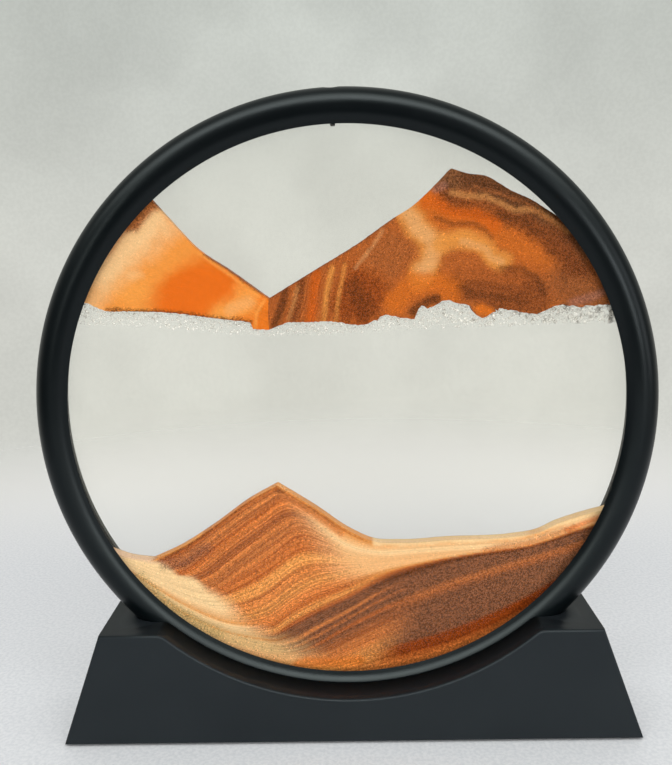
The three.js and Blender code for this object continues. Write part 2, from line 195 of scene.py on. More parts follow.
def object_place(start):
    """The place on the piece, in the piece's own coordinates."""
    return start.node("ShaderNodeTexCoord", out="Object")


def clouds(place, scale, detail=2.0, roughness=0.5):
    """A cloudy pattern over a place, between 0 and 1."""
    inputs = {"Vector": place, "Scale": scale, "Detail": detail, "Roughness": roughness}
    return place.node("ShaderNodeTexNoise", None, inputs)


def relief(height, strength, distance):
    """The bumpy normal that a height gives."""
    return height.node("ShaderNodeBump", None, {"Strength": strength, "Distance": distance, "Height": height})


def kept(start, name, out="Fac"):
    """A value that the mesh keeps under a name."""
    return start.node("ShaderNodeAttribute", {"attribute_name": name}, out=out)


def blend(mask, first, second):
    """Two shaders, mixed by a mask."""
    return mask.node("ShaderNodeMixShader", None, {0: mask, 1: first, 2: second})


def unseen(start):
    """A shader that lets every ray pass."""
    return start.node("ShaderNodeBsdfTransparent")


# %% [markdown]
# ## Table
# The object stands on a pale table with a fine weave. A table top with an edge would show that edge from
# some sides, so the floor is a round plate that fades out into the world's colour. It keeps the object's
# shadow, and its far part is a little paler.

# %% Table
floor_radius, floor_sides = 0.75, 96
floor_full, floor_gone = 0.24, 0.5
floor_far = (0.1, 0.26)
weave_scale = 900.0
dark_weave, light_weave, far_weave = colour("dfe2e4"), colour("eceeef"), colour("f4f4f0")
cloud_span = (0.3, 0.7)


def pale_table(start):
    place = object_place(start)
    reach = start.node("ShaderNodeVectorMath", {"operation": "LENGTH"}, {0: place}, "Value")
    near = clouds(place, weave_scale).span(*cloud_span).mix(dark_weave, light_weave)
    far = start.node("ShaderNodeSeparateXYZ", None, {0: place}, "Y").span(*floor_far)
    cloth = start.node("ShaderNodeBsdfDiffuse", None, {"Color": far.mix(near, far_weave)})
    return blend(reach.span(floor_full, floor_gone), cloth, unseen(start))


floor_form = bmesh.new()
bmesh.ops.create_circle(floor_form, cap_ends=True, radius=floor_radius, segments=floor_sides)
floor_mesh = bpy.data.meshes.new("floor")
floor_form.to_mesh(floor_mesh)
floor_form.free()
floor_mesh.materials.append(finish("pale table", pale_table))
floor = put("floor", floor_mesh)
print("floor: whole up to", floor_full, "m, gone from", floor_gone, "m")

# %% [markdown]
# ## What the black tube mirrors
# Soft lines are all that is bright on the tube, and they tell what it mirrors: a broad light in front, low
# and high, with a dark gap between. Lamps of that breadth would light the whole object too strongly. So the
# world glows for mirrored rays alone, and a dark card in front of the camera makes the gap. Camera rays,
# shadows and light pass the card, so it shows only as a reflection.

# %% Dark card
card_half, card_y, card_low, card_high = 0.15, -0.18, 0.12, 0.35


def mirror_ray(start):
    """1 for rays that a surface mirrors, and 0 for all others, also for those through glass."""
    ray = start.node("ShaderNodeLightPath", out="Is Glossy Ray")
    return ray * (1 - ray.also("Is Transmission Ray"))


def dark_card(start):
    black = start.node("ShaderNodeEmission", None, {"Strength": 0.0})
    return blend(mirror_ray(start), unseen(start), black)


card_corners = [
    (-card_half, card_y, card_low), (card_half, card_y, card_low),
    (card_half, card_y, card_high), (-card_half, card_y, card_high),
]
card_mesh = bpy.data.meshes.new("dark card")
card_mesh.from_pydata(card_corners, [], [(0, 1, 2, 3)])
card_mesh.materials.append(finish("dark card", dark_card))
card = put("dark card", card_mesh)

# %% [markdown]
# ## World
# The world has two sides. As a light it is plain white and fills the shadows. Seen by the camera, in a mirror
# or through glass, it is the wall behind: pale, darker towards the top, with soft folds, fine fibres and a
# lighter middle. A modelled wall would need light of its own, but a few spans over the direction are enough.
# Mirrored rays also meet the darker room in front, and the glow.

# %% World
world_light, wall_level = 0.56, 1.0
plain_white = (1.0, 1.0, 1.0, 1.0)
wall_low, wall_high, wall_fade = colour("d0d1ca"), colour("bdc1bb"), (-0.1, 0.32)
fold_scale, fold_swing = 7.0, 0.06
fibre_scale, fibre_swing = 260.0, 0.025
middle_light, middle_width, middle_from = 0.14, (0.05, 0.3), (0.08, 0.2)
room_shade, room_fade = 0.15, (-0.35, 0.45)
low_glow, high_glow = 12.5, 6.8
glow_start, glow_split, glow_width, glow_front = (0.0, 0.1), (0.35, 0.65), (0.38, 0.62), (-0.35, -0.1)

scene.world = bpy.data.worlds.new("studio")
scene.world.use_nodes = True
scene.world.node_tree.nodes.clear()
sky = Wire(scene.world.node_tree)
toward = sky.node("ShaderNodeTexCoord", out="Generated")
height = sky.node("ShaderNodeSeparateXYZ", None, {0: toward}, "Z")
ahead = height.also("Y")
aside = height.maths("ABSOLUTE", height.also("X"))

# %% Wall, room and glow
folds = clouds(toward, fold_scale, detail=3.0).span(*cloud_span, 1 - fold_swing, 1 + fold_swing)
fibres = clouds(toward, fibre_scale).span(*cloud_span, 1 - fibre_swing, 1 + fibre_swing)
middle = aside.span(*middle_width, middle_light, 0.0) * height.span(*middle_from)
wall_colour = height.span(*wall_fade).mix(wall_low, wall_high).times(folds * fibres).times(1 + middle)
room = ahead.span(*room_fade, room_shade, 1.0)
low = height.span(*glow_start) * height.span(*glow_split, low_glow, 0.0) * aside.span(*glow_width, 1.0, 0.0)
high = height.span(*glow_split, 0.0, high_glow)
glow = (low + high) * ahead.span(*glow_front, 1.0, 0.0)
wall_colour = wall_colour.times(1 - mirror_ray(sky) * (1 - room - glow))

ray = sky.node("ShaderNodeLightPath", out="Is Camera Ray")
seen = ray.maths("MAXIMUM", ray, ray.also("Is Glossy Ray"))
seen = ray.maths("MAXIMUM", seen, ray.also("Is Transmission Ray"))
lamp_side = sky.node("ShaderNodeBackground", None, {"Color": plain_white, "Strength": world_light})
wall_side = sky.node("ShaderNodeBackground", None, {"Color": wall_colour, "Strength": wall_level})
sky.node("ShaderNodeOutputWorld", None, {"Surface": blend(seen, lamp_side, wall_side)})
print("world:", len(scene.world.node_tree.nodes), "nodes")

# %% [markdown]
# ## Lamps
# Light comes softly from above and from the front. A long strip overhead and a window in front light the
# sand and the top of the stand, and two low windows on the right draw the tube's lower lines. All of them
# stand where the panes do not mirror them to the camera.

# %% Lamps
lamps = {
    "ceiling strip": dict(place=(0.0, -0.62, 1.0), width=1.7, depth=0.4, watts=6.0),
    "window": dict(place=(0.0, -0.95, 0.56), width=0.5, depth=0.5, watts=2.3),
    "low window": dict(place=(1.2, -2.0, 0.2), width=0.6, depth=0.3, watts=7.0),
    "side window": dict(place=(0.95, -0.5, 0.22), width=0.35, depth=0.5, watts=1.2),
}


def soft_lamp(name, place, width, depth, watts):
    """A rectangle of light, aimed at the ring's centre."""
    lamp = bpy.data.lights.new(name, "AREA")
    lamp.shape = "RECTANGLE"
    lamp.size, lamp.size_y = width, depth
    lamp.energy = watts
    aim = centre - Vector(place)
    holder = put(name, lamp)
    holder.visible_transmission = False
    holder.location = place
    holder.rotation_euler = aim.to_track_quat("-Z", "Y").to_euler()
    print("lamp:", name, watts, "W,", round(aim.length, 2), "m away")


for lamp_name, settings in lamps.items():
    soft_lamp(lamp_name, **settings)

# %% [markdown]
# ## Black plastics
# Ring and stand are moulded in black plastic: the tube has a satin skin, the stand a finely textured one that
# looks a little greyer. A glossy black would mirror the room, so the roughness is middling and varies in soft
# clouds, and fine pores break up the highlight.

# %% Plastic and rubber finishes
# the paler colour of the painted highlight on the stand's upper rounds
round_highlight_colour = colour("1f2326")
cool_shine = (0.9, 1.0, 1.04, 1.0)
skin_scale, pore_scale = 40.0, 3200.0
tint_scale, tint_swing = 60.0, 0.15


def satin_plastic(low, high, smoothest, roughest, shine):
    """A black plastic between two colours and two roughnesses, with a paler painted highlight where the mesh
    marks it.
    """

    def draw(start):
        place = object_place(start)
        skin = clouds(place, skin_scale, detail=4.0)
        return principled(
            start,
            base_color=kept(start, "painted_highlight_mark").mix(skin.mix(colour(low), colour(high)), round_highlight_colour),
            roughness=skin.span(*cloud_span, smoothest, roughest),
            specular_ior_level=shine,
            specular_tint=cool_shine,
            normal=relief(clouds(place, pore_scale), strength=0.12, distance=0.1 * MM),
        )

    return draw


def matt_finish(code, roughness, grain_scale, grain, shine=0.5):
    """A matt moulded or foamed finish with grain of the given fineness."""

    def draw(start):
        place = object_place(start)
        plain = start.node("ShaderNodeRGB")
        plain.socket.default_value = colour(code)
        tint = clouds(place, tint_scale).span(*cloud_span, 1 - tint_swing, 1 + tint_swing)
        return principled(
            start,
            base_color=plain.times(tint),
            roughness=roughness,
            specular_ior_level=shine,
            normal=relief(clouds(place, grain_scale, detail=3.0), strength=grain, distance=0.2 * MM),
        )

    return draw


tube_plastic = finish("satin black plastic", satin_plastic("030709", "05090b", 0.3, 0.36, 0.22))
stand_plastic = finish("textured black plastic", satin_plastic("181c1f", "1c2023", 0.4, 0.48, 0.17))
under_plastic = finish("matt black plastic", matt_finish("1a1b1c", 0.6, 1800.0, 0.3))
black_sealant = finish("black sealant", matt_finish("161616", 0.7, 700.0, 0.2))
black_silicone = finish("black silicone", matt_finish("101010", 0.5, 900.0, 0.1))
black_spacer = finish("black spacer", matt_finish("141515", 0.7, 900.0, 0.1, 0.05))
black_foam = finish("black foam rubber", matt_finish("19191a", 0.95, 2500.0, 0.8))

# %% [markdown]
# ## Glass and water
# The panes are plain float glass. Light has to reach the sand behind them, and a refracting pane would block
# every lamp's straight ray, so shadow rays pass it freely. The water shows only as a faint warm veil over the
# wall behind, which a low alpha gives without a second set of refracting faces.

# %% Glass and water finishes
glass_tint, glass_bend = (1.0, 1.0, 0.99, 1.0), 1.15
water_veil, drift_scale = 0.035, 18.0


def clear_glass(start):
    glass = principled(start, base_color=glass_tint, roughness=0.0, ior=glass_bend, transmission_weight=1.0)
    shadow = start.node("ShaderNodeLightPath", out="Is Shadow Ray")
    return blend(shadow, glass, unseen(start))


def faint_water(start):
    tint = clouds(object_place(start), drift_scale).mix(colour("e4dfcf"), colour("ece7d9"))
    return principled(start, base_color=tint, roughness=0.4, specular_ior_level=0.0, alpha=water_veil)


pane_glass = finish("clear glass", clear_glass)
cell_water = finish("water", faint_water)


def dress(node, material):
    """Gives a CAD node a finish and leaves its shape as it is."""
    mesh = frame["nodes"][node].data
    mesh.materials.clear()
    mesh.materials.append(material)
    print("dressed:", node, "in", material.name)


for node, material in {
    "front_glass": pane_glass,
    "rear_glass": pane_glass,
    "spacer_strip": black_spacer,
    "edge_sealant": black_sealant,
    "fill_plug": black_silicone,
    "bottom_cover": under_plastic,
}.items():
    dress(node, material)

# %% [markdown]
# ## Pieces and geometry trees
# A new piece is a mesh in the frame's own place, so its object stays at the origin. Repeated and swept forms
# come from Geometry Nodes: a carrier object holds the start mesh, its tree is evaluated once, and only the
# resulting plain mesh is kept.


# %% Making pieces
def new_mesh(name, points, faces=(), edges=()):
    mesh = bpy.data.meshes.new(name)
    mesh.from_pydata([tuple(p) for p in points], list(edges), list(faces))
    mesh.update()
    return mesh


def add_piece(name, mesh, material, body, slot, *nodes):
    """Links a finished mesh as a piece that rides on a body and stands for CAD nodes."""
    mesh.materials.clear()
    mesh.materials.append(material)
    piece = put(name, mesh)
    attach(piece, body)
    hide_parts(*nodes)
    print("piece:", name, len(mesh.polygons), "faces, for", ", ".join(nodes))
    return piece


def geometry_tree(name, sizes, build):
    """A geometry tree with named size inputs; build gets the start geometry and the sizes as wires."""
    tree = bpy.data.node_groups.new(name, "GeometryNodeTree")
    tree.interface.new_socket("Geometry", in_out="INPUT", socket_type="NodeSocketGeometry")
    for label, kind in sizes.items():
        tree.interface.new_socket(label, in_out="INPUT", socket_type=kind)
    tree.interface.new_socket("Geometry", in_out="OUTPUT", socket_type="NodeSocketGeometry")
    entry = Wire(tree).node("NodeGroupInput")
    wires = {label: entry.also(label) for label in sizes}
    Wire(tree).node("NodeGroupOutput", None, {0: build(entry, wires)})
    print("tree:", name, "with", len(tree.nodes), "nodes")
    return tree


def grown(tree, mesh, **sizes):
    """The plain mesh that a geometry tree makes of a start mesh."""
    carrier = put(tree.name, mesh)
    modifier = carrier.modifiers.new(tree.name, "NODES")
    modifier.node_group = tree
    for item in tree.interface.items_tree:
        if item.in_out == "INPUT" and item.name in sizes:
            modifier[item.identifier] = sizes[item.name]
    graph = bpy.context.evaluated_depsgraph_get()
    made = bpy.data.meshes.new_from_object(carrier.evaluated_get(graph))
    made.name = tree.name
    carrier.modifiers.clear()
    bpy.data.objects.remove(carrier)
    return made


# %% [markdown]
# Some trees cut, join or raise plain solids, and all end in the same two nodes. These steps get names too.

# %% Solids in trees
cut_away = {"operation": "DIFFERENCE", "solver": "EXACT"}


def cylinder(start, sides, radius, depth):
    return start.node("GeometryNodeMeshCylinder", None, {"Vertices": sides, "Radius": radius, "Depth": depth})


def cone(start, sides, bottom, top, depth):
    inputs = {"Vertices": sides, "Radius Bottom": bottom, "Radius Top": top, "Depth": depth}
    return start.node("GeometryNodeMeshCone", None, inputs)


def raised(mesh, height):
    up = mesh.node("ShaderNodeCombineXYZ", None, {2: height})
    return mesh.node("GeometryNodeTransform", None, {"Geometry": mesh, "Translation": up})


def joined(start, *meshes):
    join = start.node("GeometryNodeJoinGeometry")
    for mesh in meshes:
        start.tree.links.new(mesh.socket, join.socket.node.inputs[0])
    return join


def ended(geometry, material):
    """The last nodes of a tree: what it set down is made real and gets its material."""
    real = geometry.node("GeometryNodeRealizeInstances", None, {"Geometry": geometry})
    return geometry.node("GeometryNodeSetMaterial", None, {"Geometry": real, "Material": material})


# %% [markdown]
# ## The tube ring
# Each half of the ring is one section swept round the ring's axis. The section is a mesh line: the outer
# arc of the tube, the lip that frames the glass, with a small round on the front one's edge, and the hollow
# inside. Curve to Mesh sweeps it on a circle, and a Mesh Boolean drills the filling port. Sweeping gives a
# smooth tube that the coarse CAD facets can't.

# %% Ring sizes from the frame
ring_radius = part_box("front_ring")[1].x
tube_radius = -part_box("front_ring")[0].y
tube_centre = ring_radius - tube_radius
pane_face = -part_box("front_glass")[0].y
lip_gap = 0.2 * MM
seam_half = 0.15 * MM
tube_wall = 1.6 * MM
rear_setback = 2.9 * MM
port_radius = 2.5 * MM
port_angle = math.radians(91.4)
lip_plane = pane_face + lip_gap
lip_angle = math.pi - math.asin(lip_plane / tube_radius)
lip_inner = tube_radius * math.cos(lip_angle)
rear_lip = lip_inner + rear_setback
hollow = tube_radius - tube_wall
print("ring: radius", round(ring_radius / MM, 2), "tube", round(2 * tube_radius / MM, 2), "mm")


def arc(radius, start, end, steps):
    """Points of the tube's section, from the tube's centre, at evenly spaced angles."""
    angles = np.linspace(start, end, steps)
    return [(radius * math.cos(a), radius * math.sin(a)) for a in angles]


# %% Tree of the ring
port_sides = 32


def swept_ring(start, sizes):
    section = start.node("GeometryNodeMeshToCurve", None, {"Mesh": start})
    circle = {"Resolution": sizes["Steps"], "Radius": sizes["Path Radius"]}
    path = start.node("GeometryNodeCurvePrimitiveCircle", None, circle)
    tube = start.node("GeometryNodeCurveToMesh", None, {"Curve": path, "Profile Curve": section})
    upright = {"Geometry": tube, "Rotation": (math.pi / 2, 0.0, 0.0)}
    turned = start.node("GeometryNodeTransform", None, upright)
    placed = start.node("GeometryNodeTransform", None, {"Geometry": turned, "Translation": sizes["Centre"]})
    drill = cylinder(start, port_sides, sizes["Port Radius"], sizes["Port Depth"])
    aimed = {"Geometry": drill, "Translation": sizes["Port Place"], "Rotation": sizes["Port Turn"]}
    drill = start.node("GeometryNodeTransform", None, aimed)
    bored = start.node("GeometryNodeMeshBoolean", cut_away, {"Mesh 1": placed, "Mesh 2": drill})
    return ended(bored, tube_plastic)


ring_tree = geometry_tree(
    "swept ring",
    {
        "Path Radius": "NodeSocketFloat", "Steps": "NodeSocketInt", "Centre": "NodeSocketVector",
        "Port Radius": "NodeSocketFloat", "Port Depth": "NodeSocketFloat",
        "Port Place": "NodeSocketVector", "Port Turn": "NodeSocketRotation",
    },
    swept_ring,
)

# %% Ring halves
ring_steps, ring_crease = 240, 35
front_steps, rear_steps, hollow_steps = 40, 36, 12
front_round, rear_round = 0.03, 0.01
lip_edge = [(0.02, 0.06), (0.12, 0.0)]


def smooth_by_angle(mesh, limit_degrees):
    """Shades faces smooth and keeps the edges sharp that turn by more than the limit."""
    mesh.shade_smooth()
    mesh.set_sharp_from_angle(angle=math.radians(limit_degrees))


def ring_half(name, section):
    steps = len(section)
    loop = [(i, (i + 1) % steps) for i in range(steps)]
    outline = new_mesh(name, [(x, y, 0) for x, y in section], edges=loop)
    outward = Vector((math.cos(port_angle), 0, math.sin(port_angle)))
    mesh = grown(ring_tree, outline, **{
        "Path Radius": tube_centre, "Steps": ring_steps, "Centre": centre,
        "Port Radius": port_radius, "Port Depth": 2 * tube_radius,
        "Port Place": centre + outward * (ring_radius + tube_radius / 2),
        "Port Turn": outward.to_track_quat("Z", "Y").to_euler(),
    })
    smooth_by_angle(mesh, ring_crease)
    return add_piece(name + "_tube", mesh, tube_plastic, "disc", "black_plastic", name)


seam_angle = math.asin(seam_half / tube_radius)
inside = arc(hollow, math.asin(lip_plane / hollow), math.asin(seam_half / hollow), hollow_steps)
front_lip = [(lip_inner + x * MM, lip_plane + y * MM) for x, y in lip_edge]
front_section = [*arc(tube_radius, seam_angle, lip_angle - front_round, front_steps), *front_lip, *inside]
ring_half("front_ring", [(x, -y) for x, y in reversed(front_section)])

rear_angle = math.acos(rear_lip / tube_radius)
rear_outside = arc(tube_radius, seam_angle, rear_angle - rear_round, rear_steps)
ring_half("rear_ring", [*rear_outside, (rear_lip, lip_plane), *inside])

# %% [markdown]
# ## The stand
# The stand's form is right in the CAD piece, with its saddle, groove and rounded edges, but the imported mesh
# is loose flat triangles. A merged copy with weighted normals keeps the form and shades it smoothly: the
# large faces stay flat. The narrow rounds along its upper edges get a painted highlight, a paler colour
# that draws the fine light line where they catch the light.

# %% Stand
merge_distance, flat_degrees, stand_crease = 1e-6, 0.2, 50
round_outward, round_up = (0.8, 0.95), 0.25


def merged_copy(node):
    """A copy of a CAD node's mesh with its shared corners joined and its flat faces made whole."""
    form = bmesh.new()
    form.from_mesh(frame["nodes"][node].data)
    bmesh.ops.remove_doubles(form, verts=form.verts, dist=merge_distance)
    flat = math.radians(flat_degrees)
    bmesh.ops.dissolve_limit(form, angle_limit=flat, verts=form.verts, edges=form.edges)
    mesh = bpy.data.meshes.new(node)
    form.to_mesh(mesh)
    form.free()
    return mesh


def takes_round_highlight(face):
    """Whether a face is in a highlit round between an outer face and the top: it turns outward and a little
    up.
    """
    outward = face.normal.y if face.center.y > 0 else -face.normal.y
    return round_outward[0] < outward < round_outward[1] and face.normal.z > round_up


stand_mesh = merged_copy("stand_shell")
# faces of the upper rounds are marked for the painted highlight
painted_highlight_mark = np.array([takes_round_highlight(face) for face in stand_mesh.polygons], np.float32)
stand_mesh.attributes.new("painted_highlight_mark", "FLOAT", "FACE").data.foreach_set("value", painted_highlight_mark)
smooth_by_angle(stand_mesh, stand_crease)
stand = add_piece("stand_body", stand_mesh, stand_plastic, "stand", "black_plastic", "stand_shell")
weighted = stand.modifiers.new("flat faces first", "WEIGHTED_NORMAL")
weighted.keep_sharp = True
weighted.weight = 100

# %% [markdown]
# ## Lines of the sand
# What settles in the cell lies as flat beds between the panes, so it can be drawn as lines on a disc, in
# millimetres from the ring's centre. A line is a smooth height over x; where the sand has a corner, such as
# the dune's peak, the line has a new run.


# %% Lines
def line(*runs):
    """A height over x as a function: each run is a smooth curve through its given points."""
    parts = []
    for run in runs:
        x, z = np.array(run, float).T
        slope = np.gradient(z, x) if len(x) > 2 else np.full(2, (z[1] - z[0]) / (x[1] - x[0]))
        parts.append((x, z, slope))

    def height(at):
        at = np.asarray(at, float)
        found = np.zeros_like(at)
        for order, (x, z, slope) in enumerate(parts):
            i = np.clip(np.searchsorted(x, at) - 1, 0, len(x) - 2)
            width = x[i + 1] - x[i]
            t = np.clip((at - x[i]) / width, 0, 1)
            bend = slope[i] * width * t * (1 - t) ** 2 - slope[i + 1] * width * t ** 2 * (1 - t)
            here = z[i] + (z[i + 1] - z[i]) * t ** 2 * (3 - 2 * t) + bend
            found = np.where((order == 0) | (at > x[0]), here, found)
        return found

    return height


dune_top = line(
    [(-84, -36.5), (-70.8, -40.6), (-64.9, -42.8), (-58.2, -43.8)],
    [(-58.2, -43.8), (-49.7, -39.9), (-39.4, -33.4), (-29.1, -26), (-20.4, -21.2)],
    [(-20.4, -21.2), (-9.5, -28.4), (0.2, -35.5), (7.1, -38.9), (15.6, -39.6), (29.4, -38.9), (48.5, -38.2),
     (55.9, -36.9), (61.1, -34.4), (66.3, -32.6), (75.2, -30.1), (84, -27.8)],
)
heap_top = line(
    [(-84, 92), (-51.4, 59.7), (-46.8, 54.3), (-41, 47.8), (-31.3, 40.8), (-20.8, 32.9)],
    [(-20.8, 32.9), (-7.7, 40.5), (4.4, 47.5), (14.4, 54.2), (19.4, 57.2), (24.4, 61.5), (29.8, 66.9)],
    [(29.8, 66.9), (34.2, 65.5), (39.1, 64.7), (46.5, 60.5), (51.5, 58.2), (57.5, 54.4), (84, 38)],
)
heap_under = line(
    [(-84, 33.8), (-72, 32.8), (-67, 30.6), (-60, 30.2), (-48.1, 29.5), (-38.6, 28.1), (-26.2, 26.4)],
    [(-26.2, 26.4), (-25.6, 24.5)],
    [(-25.6, 24.5), (-21, 24.2)],
    [(-21, 24.2), (-16, 26), (-10, 26.1), (-3.9, 26.2), (3.9, 25.1), (7, 25.4), (11.3, 27.6), (16, 26.8),
     (19.6, 26.2)],
    [(19.6, 26.2), (20.8, 29), (24, 29.4), (28.5, 31.4), (32, 30.4), (35.2, 29.6), (37, 27.2), (40, 26.6),
     (42.5, 28.4), (46.6, 28.3), (53.7, 27.2), (59.9, 29.4), (66, 28.9), (73.7, 29.4), (84, 29.4)],
)
bubble_foot = line(
    [(-84, 27.5), (-74.8, 27), (-54.5, 25.8), (-24.7, 22.8), (-3.9, 22.6), (15.7, 23.5), (54.7, 24.3),
     (84, 24.8)],
)
valley = np.array([(-20.8, 32.9), (-21.2, 28.5), (-21, 24.2)])
print("lines: the heaps meet from", valley[0].tolist(), "down to", valley[-1].tolist(), "mm")

# %% [markdown]
# ## One triangulation for the whole cell
# Beds that share a line must also share its points, or hair cracks show. So all lines go into one constrained
# Delaunay triangulation of the disc, with loose points between them to carry the colours, and each bed takes
# the triangles that lie in it. The beds are then given the cell's depth.

# %% Triangulate the cell
cell_radius = max(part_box("lower_sand_rim")[1].x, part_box("lower_water")[1].x) / MM
sand_front, sand_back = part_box("lower_sand_dune")[0].y / MM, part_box("lower_sand_dune")[1].y / MM
edge_step, bed_step, bed_scatter = 0.4, 0.55, 0.3
top_margin, under_margin, rim_margin = 0.4, 0.8, 0.5
dune_rough, heap_rough, foot_rough = 0.06, 0.1, 0.2
under_rough, right_rougher, right_from, right_reach = 0.3, 0.5, -5, 10
fine_wave, wide_wave = 1.6, 0.6
same_point = 1e-5
draw = np.random.default_rng(7)


def eased(value):
    """0 below 0, 1 above 1, and a smooth step between."""
    t = np.clip(value, 0, 1)
    return t * t * (3 - 2 * t)


def ragged(x):
    """An uneven offset along a line, so that sand ends in grains and not in a drawn edge."""
    fine = [noise.noise(Vector((a * fine_wave, 1.0, 3.0))) for a in x]
    wide = [noise.noise(Vector((a * wide_wave, 5.0, 1.0))) for a in x]
    return np.array(fine) + np.array(wide)


def loose_points():
    """Points on an uneven grid, where the sand lies."""
    grid = np.arange(-cell_radius, cell_radius, bed_step)
    x, z = np.meshgrid(grid, grid)
    scatter = draw.uniform(-bed_scatter, bed_scatter, (x.size, 2)) * bed_step
    loose = np.stack([x.ravel(), z.ravel()], 1) + scatter
    x, z = loose.T
    in_heap = (z < heap_top(x) - top_margin) & (z > heap_under(x) + under_margin)
    in_sand = (z < dune_top(x) - top_margin) | in_heap
    return loose[in_sand & (np.hypot(x, z) < cell_radius - rim_margin)]


def triangulate():
    """The points and triangles of the cell, with the rim and every line as edges."""
    turn = np.linspace(0, 2 * math.pi, round(2 * math.pi * cell_radius / edge_step), endpoint=False)
    points = [np.stack([np.cos(turn), np.sin(turn)], 1) * cell_radius]
    edges = [(i, (i + 1) % len(turn)) for i in range(len(turn))]
    across = np.arange(-cell_radius - 1, cell_radius + 1, edge_step)
    under = under_rough + right_rougher * eased((across - right_from) / right_reach)
    roughness = {dune_top: dune_rough, heap_top: heap_rough, heap_under: under, bubble_foot: foot_rough}
    rows = [height(across) + ragged(across) * rough for height, rough in roughness.items()]
    for row in (*(np.stack([across, heights], 1) for heights in rows), valley):
        first = sum(len(p) for p in points)
        points.append(row)
        edges += [(first + i, first + i + 1) for i in range(len(row) - 1)]
    points.append(loose_points())
    made = delaunay_2d_cdt([Vector(p) for p in np.concatenate(points)], edges, [], 0, same_point)
    return np.array([tuple(v) for v in made[0]]), np.array(made[2])


cell_points, cell_triangles = triangulate()
mid_x, mid_z = cell_points[cell_triangles].mean(1).T
in_cell = np.hypot(mid_x, mid_z) < cell_radius
print("cell:", len(cell_points), "points,", int(in_cell.sum()), "triangles")

# %% [markdown]
# ## Pigments and strokes
# The sand is dyed in a few colours that mix as it runs. Painting each grain is out of reach, and a plain
# procedural noise would not lie where the colours lie here. So colour is laid on as a painter would: a base
# pigment, then soft strokes along short paths, each with its own pigment and half width in millimetres. A
# noise makes their edges wander; it would be another one in each run, so it is seeded. The result is kept on
# the mesh as a colour attribute, with the share of odd grains in its alpha.

# %% Pigments
pigments = {name: np.array(colour(code)[:3]) for name, code in {
    "blush": "f2c8a0", "cream": "f6cf98", "peach": "f0b67a", "straw": "e0b47a", "olive": "c0a064",
    "gold": "c8864a", "amber": "e2964c", "apricot": "f29e48", "orange": "cf783a", "bright": "e4751e",
    "fire": "e66812", "copper": "bc642a", "sienna": "a86030", "chestnut": "82441e", "walnut": "7a4e2e",
    "brown": "7e4e31", "umber": "5e3216", "mauve": "754836", "rust": "883a0c", "rose": "b07a6a",
}.items()}
print("pigments:", len(pigments))

# %% Strokes
wide_stray = dict(size=1.6, wave=7.0, seed=1.5)
fine_stray = dict(size=0.9, wave=1.8, seed=4.5)
free_width = 4
stroke_fade = 1.3
wander_seed = 1795712923
noise.seed_set(wander_seed)


def stray(points, size, wave, seed):
    """Points pushed about by a smooth noise, so that painted edges wander."""
    push = [noise.noise_vector(Vector((x / wave, z / wave, seed))) for x, z in points]
    return points + np.array([(p.x, p.z) for p in push]) * size


def stroke_cover(points, path, half_width):
    """How far a stroke covers each point: 1 along its path, fading out beyond its half width."""
    path = np.array(path, float)
    nearest = np.full(len(points), np.inf)
    for a, b in zip(path[:-1], path[1:]):
        along = np.clip(((points - a) @ (b - a)) / ((b - a) ** 2).sum(), 0, 1)
        nearest = np.minimum(nearest, np.hypot(*(points - a - along[:, None] * (b - a)).T))
    return eased(stroke_fade - nearest / half_width)


def paint(points, base, strokes):
    """Pigment and share of odd grains at each point: a base under strokes; wide strokes wander more."""
    rgba = base
    drift = stray(stray(points, **wide_stray), **fine_stray) - points
    for name, half_width, strength, grains, path in strokes:
        near = points + drift * min(half_width / free_width, 1)
        cover = stroke_cover(near, path, half_width)[:, None] * strength
        rgba = rgba + (np.append(pigments[name], grains) - rgba) * cover
    return rgba


# %% [markdown]
# ## The heaps on the bubbles
# The left heap is clean orange with a cream shoulder by the ring. The right one is marbled: a dark crown with
# a golden vein, orange bands, a brown core, and steep thin streaks where it runs down to the valley.

# %% Strokes of the two heaps
left_strokes = [
    ("apricot", 8, 0.7, 0.0, [(-72, 35), (-58, 33.5)]),
    ("fire", 8, 0.7, 0.0, [(-46, 33), (-39, 37.5), (-30, 37)]),
    ("apricot", 6, 0.75, 0.0, [(-43, 49), (-52, 43.5), (-60, 37)]),
    ("peach", 6, 0.85, 0.0, [(-48, 55), (-57, 48.5), (-64, 41.5), (-71, 35)]),
    ("cream", 4, 0.6, 0.0, [(-51.5, 54.5), (-59, 48.5), (-66.5, 41)]),
    ("cream", 1.6, 0.25, 0.0, [(-58.5, 40), (-56.5, 40.2)]),
    ("apricot", 4.5, 0.85, 0.01, [(-34, 28.5), (-29, 30.5), (-27.5, 33)]),
    ("peach", 2.4, 0.35, 0.01, [(-31, 30), (-27, 32)]),
    ("apricot", 0.5, 0.75, 0.0, [(-40, 46.2), (-31, 39.4), (-23.5, 33.4)]),
    ("brown", 0.4, 0.8, 0.2, [(-38, 45.6), (-31.3, 40.8), (-21, 33)]),
    ("bright", 2, 0.6, 0.0, [(-21.6, 33), (-22.6, 24)]),
    ("apricot", 0.5, 0.7, 0.0, [(-22, 32.5), (-24.4, 29), (-25, 25)]),
    ("sienna", 2.4, 0.9, 0.2, [(-50.4, 59.4), (-53.5, 57.5), (-58, 54)]),
    ("umber", 0.8, 0.75, 0.8, [(-66, 30.6), (-60, 30.3), (-48, 29.6), (-38.5, 28.2), (-26.4, 26.5)]),
]
